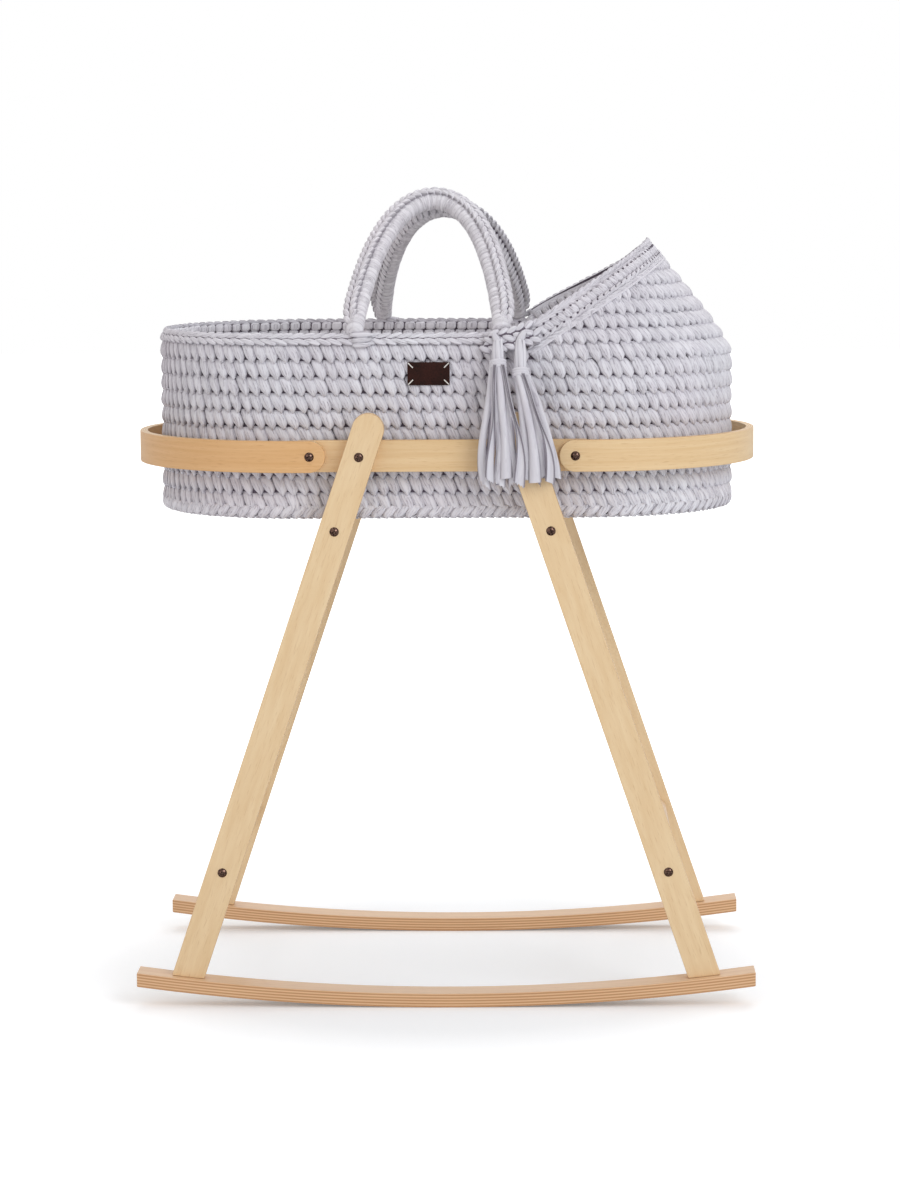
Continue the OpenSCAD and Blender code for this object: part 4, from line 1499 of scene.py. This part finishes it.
@dataclass
class Tassel:
    """A tassel of cut jersey strips with a wrapped neck."""

    hang: Hang
    cloth: Material
    # the same cloth darker, painted shade for the ribbons at the back
    inner: Material
    cord_y: float = -0.206
    cord_z: float = 0.83598
    lean: float = math.radians(18.0)
    length: float = 0.172
    front_y: float = -0.2348
    wrap: float = 0.004
    neck: float = 0.0088
    thickness: float = 0.0018
    tight_roll: float = 2.7

    def facts(self) -> tuple[float, float, tuple[float, float], tuple[int, int]]:
        """Gives what differs between the tassels.

        Returns:
            Loop place, neck drop, first and last tip, and the ribbons in front and behind.
        """
        if self.hang is Hang.LEFT:
            return 0.070, 0.020, (0.0520, 0.0970), (6, 3)
        return 0.098, 0.031, (0.1070, 0.1420), (5, 2)

    def build(self) -> None:
        """Makes and settles the head, the wrap and the strips."""
        name = self.hang.value
        body = name + "_tassel"
        settle(self.head(), body, "jersey_strip", f"tassel_{name}_head")
        settle(self.binding(), body, "jersey_strip", f"tassel_{name}_wrap")
        ribbons, width, length = self.strips()
        settle(ribbons, body, "jersey_strip", f"tassel_{name}_strips")

    def axis(self) -> tuple[Vector, Vector]:
        """The loop's middle and the direction down the neck."""
        down = Vector((0.0, -math.sin(self.lean), -math.cos(self.lean)))
        return Vector((self.facts()[0], self.cord_y, self.cord_z)), down

    def head(self) -> Piece:
        """Folded strips over the cord, drawn in by the wrap.

        Returns:
            The head.
        """
        drop = self.facts()[1]
        work = StitchWork(f"tassel_{self.hang.value}_fold", self.cloth, 41)
        top, down = self.axis()
        count = 7
        matrices = []
        for k in range(count):
            angle = 2 * math.pi * k / count + 0.3
            ray = Vector((math.cos(angle), math.sin(angle), 0.0))
            ray = (ray - down * ray.dot(down)).normalized()
            middle = top + down * (drop / 2 + 0.004) + ray * 0.0042
            spot = Spot(middle, ray.cross(down), -down, ray)
            matrices.append(spot.matrix(width=0.0085, depth=0.0078, height=drop + 0.026,
                                        turn=work.random.uniform(-0.12, 0.12)))
        work.row(StitchKind.LOBE, matrices)
        return work.finish()

    def binding(self) -> Piece:
        """Three turns of yarn round the neck.

        Returns:
            The wrap.
        """
        drop = self.facts()[1]
        top, down = self.axis()
        front = down.cross(ASIDE)
        turns = 3
        steps = 22
        points = []
        for k in range(turns * steps + 1):
            angle = 2 * math.pi * k / steps
            along = drop + self.wrap * (0.3 + (turns - 0.6) * k / (turns * steps))
            ray = ASIDE * math.cos(angle) + front * math.sin(angle)
            points.append(top + down * along + ray * self.neck)
        spots = line_spots(points, lambda place, along: (place - top) - down * (place - top).dot(down))
        return object_from(sweep(spots, lambda _: self.wrap * 0.56, 8), f"tassel_{self.hang.value}_binding",
                           self.cloth)

    def strips(self) -> tuple[Piece, float, float]:
        """Hanging strips, each a curled ribbon with a slanting or notched cut end.

        Returns:
            All strips of the tassel as one piece, the sum of their cut widths, and their mean length.
        """
        _, drop, (first, last), counts = self.facts()
        draw = random.Random(51 if self.hang is Hang.LEFT else 52)
        top, down = self.axis()
        start = top + down * (drop + 3 * self.wrap)
        parts = []
        widths = []
        lengths = []
        for rank, count in enumerate(reversed(counts)):
            for number in range(count):
                place = (number + (0.5 if rank == 0 else 0.0)) / (count if rank == 0 else count - 1)
                end_x = first + (last - first) * place + draw.uniform(-0.0012, 0.0012)
                layer = 0.0 if rank == 0 else 0.9 + 1.3 * (number % 2)
                width = draw.uniform(0.0135, 0.0170)
                part = draw.uniform(0.93, 1.0)
                parts.append(self.strip(draw, start, end_x, layer, 1.7 * place - 0.85, part, width))
                widths.append(width)
                lengths.append(part * (start.z + 0.007 - self.cord_z + self.length))
        piece = join(f"tassel_{self.hang.value}_ribbons", parts)
        return piece, sum(widths), sum(lengths) / len(lengths)

    def strip(self, draw: random.Random, start: Vector, end_x: float, layer: float, begin: float,
              part: float, width: float) -> Piece:
        """One ribbon whose edges roll in, most of all near the neck.

        Args:
            draw: source of variation.
            start: end of the neck.
            end_x: place of the tip along the basket.
            layer: zero at the back to about two in front.
            begin: place across the neck.
            part: share of the full length.
            width: width that it was cut to.

        Returns:
            The ribbon.
        """
        bm = bmesh.new()
        strand = bm.verts.layers.float_vector.new(STRAND)
        bmesh.ops.create_grid(bm, x_segments=8, y_segments=26, size=0.5)
        tip_roll = draw.uniform(0.4, 1.2)
        flip = draw.choice((-1.0, -1.0, -1.0, 0.7))
        face = draw.uniform(-0.35, 0.35)
        twist = draw.uniform(-0.8, 0.8)
        sway = draw.uniform(-0.0030, 0.0030)
        slant = draw.uniform(-0.05, 0.05)
        notch = draw.choice((0.0, 0.008, 0.016))
        wave = draw.uniform(0.0, 6.0)
        unrolls = draw.uniform(0.2, 0.5)
        number = draw.random() * NUMBERS
        first = start + Vector((begin * 0.0072, 0.0030 - 0.0042 * layer, 0.007))
        front = self.front_y + 0.0016 - 0.0040 * layer
        fall = self.cord_z - self.length - first.z
        for vert in bm.verts:
            # j runs from edge to edge, v from the neck to the tip
            j = 2 * vert.co.x
            v = 0.5 - vert.co.y
            early = min(1.0, 2 * v)
            ragged = notch * (1.0 if round(4 * j) % 2 else -1.0) * (v > 0.99)
            down = v * part + slant * j * max(0.0, v - 0.9) / 0.1 + ragged
            roll = self.tight_roll + (tip_roll - self.tight_roll) * eased((v - unrolls) / 0.55)
            reach = width / 2 * math.sin(roll * j) / roll
            depth = width / 2 * (1 - math.cos(roll * j)) / roll * flip
            turn = face * early + twist * math.sin(3 * v + wave) * v
            fan = 1 - (1 - min(1.0, v * part)) ** 1.7
            x = first.x + (end_x - first.x) * fan + sway * math.sin(6 * v + wave) * early
            y = first.y + (front - first.y) * eased(v / 0.4)
            side = reach * math.cos(turn) + depth * math.sin(turn)
            back = reach * math.sin(turn) * 0.7 - depth * math.cos(turn)
            vert.co = (x + side, y + min(back, 0.0022 + 0.003 * layer), first.z + fall * down)
            # the strand's first value grows to the ribbon's edges, where the cloth paints shade
            vert[strand] = (j * EDGE_MM, v * 140.0, number)
        bmesh.ops.recalc_face_normals(bm, faces=bm.faces)
        grown = bmesh.ops.extrude_face_region(bm, geom=bm.faces[:])
        bm.normal_update()
        for vert in verts_of(grown):
            vert.co += vert.normal * self.thickness
        bmesh.ops.recalc_face_normals(bm, faces=bm.faces)
        # the ribbons at the back take the darker cloth: painted shade
        ribbon = object_from(bm, "ribbon", self.cloth if layer else self.inner)
        ribbon.data.set_sharp_from_angle(angle=math.radians(50))
        return ribbon


@dataclass
class Ties:
    """The knotted cord at the hood's corner that carries the tassels."""

    cloth: Material
    dark: Material
    middle: tuple[float, float, float] = (0.084, -0.200, 0.839)
    link: float = 0.0105
    # chains through the knot, as places from its middle
    rows: tuple = (((-0.030, 0.004, -0.006), (0.0, -0.003, -0.002), (0.030, 0.004, 0.006)),
                   ((-0.024, 0.003, 0.005), (0.000, -0.002, 0.009), (0.020, 0.003, 0.015)))
    # loops over the chains: place from the middle, and turn
    loops: tuple = (((-0.014, -0.006, 0.001), 0.5), ((0.014, -0.005, 0.004), -0.5))

    def build(self) -> None:
        """Makes and settles the knot."""
        work = StitchWork("tassel_knot", self.cloth, 61)
        middle = Vector(self.middle)
        for row in self.rows:
            line = [middle + Vector(step) for step in row]
            spots = line_spots(spread(line, self.link), lambda place, along: FORWARD + UP * 0.4)
            # the dark strand under each chain is painted shade in its gaps
            work.strand([spot.moved(out=-0.002) for spot in spots], radius=0.0062, material=self.dark)
            work.chain(spots, width=0.0170, pitch=self.link, depth=0.0090, slope=0.50, overlap=1.7)
        matrices = []
        for step, turn in self.loops:
            spot = Spot(middle + Vector(step), ASIDE, UP, FORWARD)
            matrices.append(spot.matrix(width=0.011, depth=0.010, height=0.024, turn=turn))
        work.row(StitchKind.LOBE, matrices)
        settle(work.finish(), "basket", "jersey_strip", "tassel_cord")


@dataclass
class Patch:
    """The bare leather patch and its four corner stitches."""

    leather: Material
    thread: Material
    x: float = -0.017
    y: float = -0.1920
    z: float = 0.79948
    width: float = 0.053
    height: float = 0.029
    thickness: float = 0.0016
    sag: float = 0.0007
    ripple: float = 0.00025
    rounding: float = 0.0004
    inset: float = 0.004
    stitch: float = 0.0085
    stitch_steps: int = 8
    stitch_rise: float = 0.0007
    thread_radius: float = 0.0007

    def build(self) -> None:
        """Makes and settles the patch and the thread."""
        bm = bmesh.new()
        bmesh.ops.create_grid(bm, x_segments=14, y_segments=8, size=0.5)
        for vert in bm.verts:
            u, v = vert.co.x * 2, vert.co.y * 2
            sag = self.sag * (1 - u * u) * (1 - v * v) + self.ripple * math.sin(7 * u + 2 * v)
            vert.co = (self.x + u * self.width / 2, self.y - sag - 0.0002, self.z + v * self.height / 2)
        bmesh.ops.recalc_face_normals(bm, faces=bm.faces)
        if bm.faces[:][0].normal.y > 0:
            bmesh.ops.reverse_faces(bm, faces=bm.faces)
        bmesh.ops.solidify(bm, geom=bm.faces[:], thickness=self.thickness)
        piece = object_from(bm, "leather_label", self.leather)
        bevel = piece.modifiers.new("edge", "BEVEL")
        bevel.width = self.rounding
        bevel.segments = 2
        settle(piece, "basket", "brown_leather", "leather_patch")
        parts = [self.corner(side, rise) for side in (-1, 1) for rise in (-1, 1)]
        settle(join("corner_thread", parts), "basket", "white_thread", "patch_stitches")

    def corner(self, side: int, rise: int) -> Piece:
        """One slanting stitch.

        Args:
            side: which end of the patch.
            rise: minus one at the lower edge, one at the upper.

        Returns:
            The stitch.
        """
        place = Vector((self.x + side * (self.width / 2 - self.inset), self.y - 0.0009,
                        self.z + rise * (self.height / 2 - self.inset)))
        way = Vector((side, 0.0, rise)).normalized()
        points = []
        for k in range(self.stitch_steps + 1):
            share = k / self.stitch_steps
            rise_here = FORWARD * self.stitch_rise * math.sin(math.pi * share)
            points.append(place + way * self.stitch * (share - 0.5) + rise_here)
        spots = line_spots(points, lambda place, along: FORWARD)
        return object_from(sweep(spots, lambda _: self.thread_radius, 8), "thread", self.thread)


@dataclass
class Mattress:
    """The fitted foam mattress in its cotton cover."""

    cotton: Material
    half: float = 0.181
    radius: float = 0.1758
    bottom: float = 0.63218
    height: float = 0.044
    segments: int = 96
    frames: int = 16
    pressure: float = 4.0
    cap: float = 0.004
    voxel: float = 0.006
    rounding: float = 0.005
    piping_inset: float = 0.0030
    piping_drop: float = 0.0065
    piping_radius: float = 0.0027
    piping_count: int = 150

    def build(self) -> None:
        """Makes, fills and settles the mattress and its piping."""
        line = Oval(self.half, self.radius)
        bm = line.raised(self.segments, self.bottom + 0.001, self.height - 0.008, True)
        bmesh.ops.recalc_face_normals(bm, faces=bm.faces)
        rims = [edge for edge in bm.edges if edge.calc_face_angle(0.0) > 1.0]
        bmesh.ops.bevel(bm, geom=rims, offset=self.rounding, affect="EDGES", segments=3, profile=0.5,
                        material=-1)
        piece = object_from(bm, "cotton_mattress", self.cotton)
        self.fill(piece)
        smooth = piece.modifiers.new("smooth", "SUBSURF")
        smooth.levels = 1
        smooth.render_levels = 1
        settle(piece, "basket", "mattress_cotton", "mattress")
        settle(self.piping(), "basket", "mattress_cotton")

    def piping(self) -> Piece:
        """The sewn piping round the mattress's upper edge.

        Returns:
            The piping.
        """
        line = Oval(self.half, self.radius - self.piping_inset)
        pitch = line.length() / self.piping_count
        spots = line.ring(self.piping_count, pitch, self.bottom + self.height - self.piping_drop)
        bm = sweep(spots + spots[:1], lambda _: self.piping_radius, 8)
        return object_from(bm, "mattress_piping", self.cotton)

    def fill(self, piece: Piece) -> None:
        """Swells the cover by cloth pressure, within a cap.

        Args:
            piece: the mattress, which gets a new mesh.
        """
        remesh = piece.modifiers.new("remesh", "REMESH")
        remesh.mode = "VOXEL"
        remesh.voxel_size = self.voxel
        with bpy.context.temp_override(object=piece, active_object=piece):
            bpy.ops.object.modifier_apply(modifier=remesh.name)
        rest = [vert.co.copy() for vert in piece.data.vertices]
        cloth = piece.modifiers.new("cloth", "CLOTH")
        cloth.settings.use_pressure = True
        cloth.settings.uniform_pressure_force = self.pressure
        cloth.settings.effector_weights.gravity = 0.0
        scene = bpy.context.scene
        for number in range(1, self.frames + 1):
            scene.frame_set(number)
        evaluated = piece.evaluated_get(bpy.context.evaluated_depsgraph_get())
        places = [vert.co.copy() for vert in evaluated.data.vertices]
        piece.modifiers.remove(cloth)
        scene.frame_set(1)
        for vert, old, new in zip(piece.data.vertices, rest, places):
            step = new - old
            if step.length > self.cap:
                step *= self.cap / step.length
            moved = old + step
            moved.z = max(self.bottom + 0.0004, min(self.bottom + self.height - 0.0005, moved.z))
            vert.co = moved
        for face in piece.data.polygons:
            face.use_smooth = True


@dataclass
class Stand:
    """The wooden stand: CAD nodes with wood and metal finishes and eased edges."""

    lean: float = math.radians(18.7)
    easing: float = 0.0012
    smallest_outline: float = 0.03
    arris: float = math.radians(40)
    crisp: float = math.radians(35)
    flat: float = math.radians(0.05)
    merge: float = 0.00001
    bow_centre: float = 0.1808
    bow_radius: float = 0.2142
    rocker_radius: float = 2.851875

    def finishes(self) -> dict[str, Material]:
        """Makes the wood and metal materials.

        Returns:
            A material for each start of a node's name.
        """
        quarter = math.pi / 2
        plies = {"ply_light": "#E9C793", "ply_dark": "#CFA26B"}
        leg = {"light": "#EDD1A6", "dark": "#E5C597", "fleck": "#CFA878", "grain_mm": 8.0, "figure_mm": 70.0,
               **plies}
        strip = {"light": "#EACB9D", "dark": "#DFBB88", "fleck": "#C79C69", **plies}
        bow = {"bend_x": self.bow_centre, "ply_axis": 2, "arc_radius": self.bow_radius}
        # the foot bow gets darker colours than the head bow of the same wood: painted shade on the foot end,
        # away from the key light
        warm = {"light": "#E4B680", "dark": "#D9A76C", "fleck": "#C08A50", **plies}
        head = Birch("birch_plywood_head_leg", turn=(0.0, self.lean, 0.0), **leg).build()
        foot = Birch("birch_plywood_foot_leg", turn=(0.0, -self.lean, 0.0), **leg).build()
        rail = Birch("birch_strip_rail", turn=(0.0, quarter, 0.0), **strip).build()
        head_bow = Birch("bent_birch_strip_head", bend_side=1.0, **bow, **strip).build()
        foot_bow = Birch("bent_birch_strip_foot", bend_side=-1.0, **bow, **warm).build()
        rocker = Birch("laminated_beech", light="#E5C29C", dark="#D8AF86", fleck="#BD916A", ply_axis=2,
                       arc_radius=self.rocker_radius, ply_mm=1.8, ply_light="#E6BD91",
                       ply_dark="#C28E60").build()
        dowel = Birch("turned_beech", light="#E2C4A0", dark="#D3AE84", fleck="#B78C60",
                      turn=(quarter, 0.0, 0.0), ply_light="#E2C4A0", ply_dark="#D3AE84").build()
        bronze = Plated("bronzed_steel", "#2A1B18", "#8F7264", 0.17).build()
        zinc = Plated("zinc_plated_steel", "#B9BCC0", "#D7DADC", 0.3).build()
        board = Birch("birch_board", light="#E6CCA6", dark="#DDBE93", fleck="#C9A274", ply_axis=2,
                      turn=(0.0, quarter, 0.0)).build()
        made = {"rocker": rocker, "ring_rail": rail, "ring_bow_head": head_bow, "ring_bow_foot": foot_bow,
                "leg_ring": bronze, "splice": bronze, "foot_screws": zinc, "foot_dowels": dowel,
                "base_board": board}
        for side in ("front", "back"):
            made.update({f"leg_{side}_head": head, f"leg_{side}_foot": foot})
        for bar in ("upper_bar", "lower_bar"):
            made.update({bar + "_foot": dowel, bar + "_head": dowel, bar + "_bolts": bronze,
                         bar + "_inserts": zinc})
        return made

    def dress(self, nodes: dict[str, Piece]) -> None:
        """Gives each CAD node of the stand its finish, and eases the arrises of the wood.

        Args:
            nodes: CAD objects by name.
        """
        for start, material in self.finishes().items():
            for name, node in nodes.items():
                if name.startswith(start):
                    node.data.materials.clear()
                    node.data.materials.append(material)
                    LOG.info("%s: %s", name, material.name)
        slots = {"rocker": "laminated_beech", "leg_front": "birch_plywood", "leg_back": "birch_plywood",
                 "ring_rail": "birch_plywood", "ring_bow": "bent_birch"}
        for start, slot in slots.items():
            for name in [name for name in nodes if name.startswith(start)]:
                self.eased_copy(nodes[name], slot)

    def eased_copy(self, node: Piece, slot: str) -> None:
        """Replaces a wooden node by a merged copy with eased arrises and smooth bends.

        Args:
            node: the CAD piece.
            slot: its finish in the record.
        """
        bm = bmesh.new()
        bm.from_mesh(node.data)
        bmesh.ops.remove_doubles(bm, verts=bm.verts, dist=self.merge)
        bmesh.ops.dissolve_limit(bm, angle_limit=self.flat, verts=bm.verts, edges=bm.edges)
        sharp = {edge for edge in bm.edges if edge.calc_face_angle(0.0) > self.arris}
        arrises = []
        while sharp:
            group = [sharp.pop()]
            for edge in group:
                near = {other for vert in edge.verts for other in vert.link_edges if other in sharp}
                sharp -= near
                group.extend(near)
            places = [vert.co for edge in group for vert in edge.verts]
            if max((place - places[0]).length for place in places) > self.smallest_outline:
                arrises += group
        bmesh.ops.bevel(bm, geom=arrises, offset=self.easing, affect="EDGES", segments=2, profile=0.5,
                        material=-1)
        piece = object_from(bm, node.name + "_eased", node.data.materials[0])
        if "custom_normal" in piece.data.attributes:
            piece.data.attributes.remove(piece.data.attributes["custom_normal"])
        piece.data.set_sharp_from_angle(angle=self.crisp)
        shading = piece.modifiers.new("flat_faces", "WEIGHTED_NORMAL")
        shading.keep_sharp = True
        settle(piece, "stand", slot, node.name)


@dataclass
class Studio:
    """Pale floor, soft light and the camera at the photograph's place."""

    focal_px: float = 3500.0
    frame_px: float = 1200.0
    sensor_mm: float = 36.0
    place: tuple[float, float, float] = (0.1224, -4.5631, 1.0806)
    yaw: float = -0.0262
    pitch: float = 0.1288
    roll: float = -0.0072
    target: tuple[float, float, float] = (0.0, 0.0, 0.5)
    ambient: float = 0.62
    floor_half: float = 14.0
    # distances from the middle where the floor's glow starts and ends to grow, and its strengths there
    floor_glow: tuple[float, float, float, float] = (0.36, 1.1, 0.165, 0.95)
    # name, place, side, watts and colour of each light
    lamps: tuple = (("key", (2.8, -3.4, 3.2), 2.4, 77.0, "#F6F9FF"),
                    ("fill", (-3.4, -3.0, 1.9), 3.0, 19.0, "#FFEBE4"),
                    ("top", (0.2, 1.2, 3.8), 3.0, 34.0, "#FFFFFF"))

    def build(self) -> None:
        """Makes the stage."""
        scene = bpy.context.scene
        scene.view_settings.view_transform = "Standard"
        self.camera(scene)
        self.world(scene)
        self.floor()
        for lamp in self.lamps:
            self.lamp(*lamp)

    def camera(self, scene: bpy.types.Scene) -> None:
        """Sets the camera that was fitted to the photograph.

        Args:
            scene: the scene that gets it.
        """
        data = bpy.data.cameras.new("photo_camera")
        data.sensor_width = self.sensor_mm
        data.lens = self.focal_px / self.frame_px * self.sensor_mm
        data.clip_end = 100.0
        camera = bpy.data.objects.new("photo_camera", data)
        scene.collection.objects.link(camera)
        level = math.cos(self.pitch)
        ahead = Vector((math.sin(self.yaw) * level, math.cos(self.yaw) * level, -math.sin(self.pitch)))
        right = Vector((math.cos(self.yaw), -math.sin(self.yaw), 0.0))
        up = right.cross(ahead)
        side = right * math.cos(self.roll) + up * math.sin(self.roll)
        head = up * math.cos(self.roll) - right * math.sin(self.roll)
        camera.matrix_world = frame_matrix(side, head, -ahead, Vector(self.place))
        scene.camera = camera

    def world(self, scene: bpy.types.Scene) -> None:
        """Makes even light all round, white where the camera or a gloss sees it.

        Args:
            scene: the scene that gets it.
        """
        world = bpy.data.worlds.new("studio")
        world.use_nodes = True
        nodes = Nodes(world.node_tree)
        path = nodes.add("LightPath").outputs
        seen = nodes.math("MAXIMUM", path["Is Camera Ray"], path["Is Glossy Ray"])
        seen = nodes.math("MAXIMUM", seen, path["Is Transmission Ray"])
        nodes.fill(world.node_tree.nodes["Background"],
                   {"Color": "#FFFFFF", "Strength": nodes.remap(seen, 0.0, 1.0, self.ambient, 1.0)})
        scene.world = world

    def floor(self) -> None:
        """A pale floor that keeps the object's shadow."""
        bm = bmesh.new()
        bmesh.ops.create_grid(bm, x_segments=1, y_segments=1, size=self.floor_half)
        material, nodes, shader = start_material("pale_floor")
        path = nodes.add("LightPath").outputs
        away = nodes.length(nodes.add("TexCoord").outputs["Object"])
        glow = nodes.math("MULTIPLY", path["Is Camera Ray"], nodes.remap(away, *self.floor_glow))
        nodes.fill(shader, {"Base Color": "#F1F3F5", "Roughness": 0.9, "Specular IOR Level": 0.0,
                            "Emission Color": "#FFFFFF", "Emission Strength": glow})
        object_from(bm, "floor", material, smooth=False)

    def lamp(self, name: str, place: tuple[float, float, float], size: float, power: float,
             tint: str) -> None:
        """Adds one square soft light that looks at the object.

        Args:
            name: name of the light.
            place: where it hangs.
            size: length of its sides.
            power: its power in watts.
            tint: its colour.
        """
        data = bpy.data.lights.new(name, "AREA")
        data.shape = "SQUARE"
        data.size = size
        data.energy = power
        data.color = hex_to_linear(tint)[:3]
        lamp = bpy.data.objects.new(name, data)
        lamp.location = place
        lamp.rotation_euler = (Vector(self.target) - Vector(place)).to_track_quat("-Z", "Y").to_euler()
        bpy.context.scene.collection.objects.link(lamp)


def main() -> None:
    """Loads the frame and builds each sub-assembly."""
    logging.basicConfig(level=logging.INFO, format="%(name)s: %(message)s")
    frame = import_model()
    yarn = CrochetYarn().build()
    # the same yarn darker: painted shade, for the sheets, cores and holes that stand for the shade between
    # stitches
    shade = CrochetYarn(name="shaded_jersey_yarn", light="#6C636F", dark="#514953").build()
    # the sleeve paints less shade in its rib grooves; the braid paints darker shade between its links
    sleeve = CrochetYarn(name="crocheted_jersey_sleeve", light="#F0EFF3", dark="#E0DDE3", edge=0.42).build()
    braid = CrochetYarn(name="crocheted_jersey_braid", light="#F0EFF3", dark="#E0DDE3", gap="#5A525E",
                        edge=0.72).build()
    # cut jersey has broad creases and strong painted shade at the ribbons' edges
    cut = {"fold_mm": 40.0, "crease_mm": 5.0, "crease_length_mm": 60.0, "bump_mm": 0.25, "edge": 0.8}
    cloth = CrochetYarn(name="cut_jersey", light="#E6E5EA", dark="#D9D7DE", fold="#B5B0BA", **cut).build()
    # the same cloth darker: painted shade for the ribbons at the back
    inner = CrochetYarn(name="cut_jersey_in_shade", light="#B3AEB8", dark="#9D97A2", fold="#857D89",
                        **cut).build()
    leather = Fibre("brown_cowhide", "#361913", "#1E0E0A", 1.6, 0.7, 0.25, 0.0, 0.15).build()
    thread = Fibre("white_cotton_thread", "#F4F1EA", "#D9D4CB", 0.5, 0.8, 0.1).build()
    cotton = Fibre("woven_cotton_cover", "#F8F6F1", "#EEEAE2", 1.2, 0.9, 0.15).build()
    Stand().dress(frame["nodes"])
    Basket(yarn, shade).build()
    Hood(yarn, shade).build()
    for side in Side:
        Handle(side, sleeve, braid, shade).build()
    for hang in Hang:
        Tassel(hang, cloth, inner).build()
    Ties(cloth, shade).build()
    Patch(leather, thread).build()
    Mattress(cotton).build()
    Studio().build()


if __name__ == "__main__":
    main()
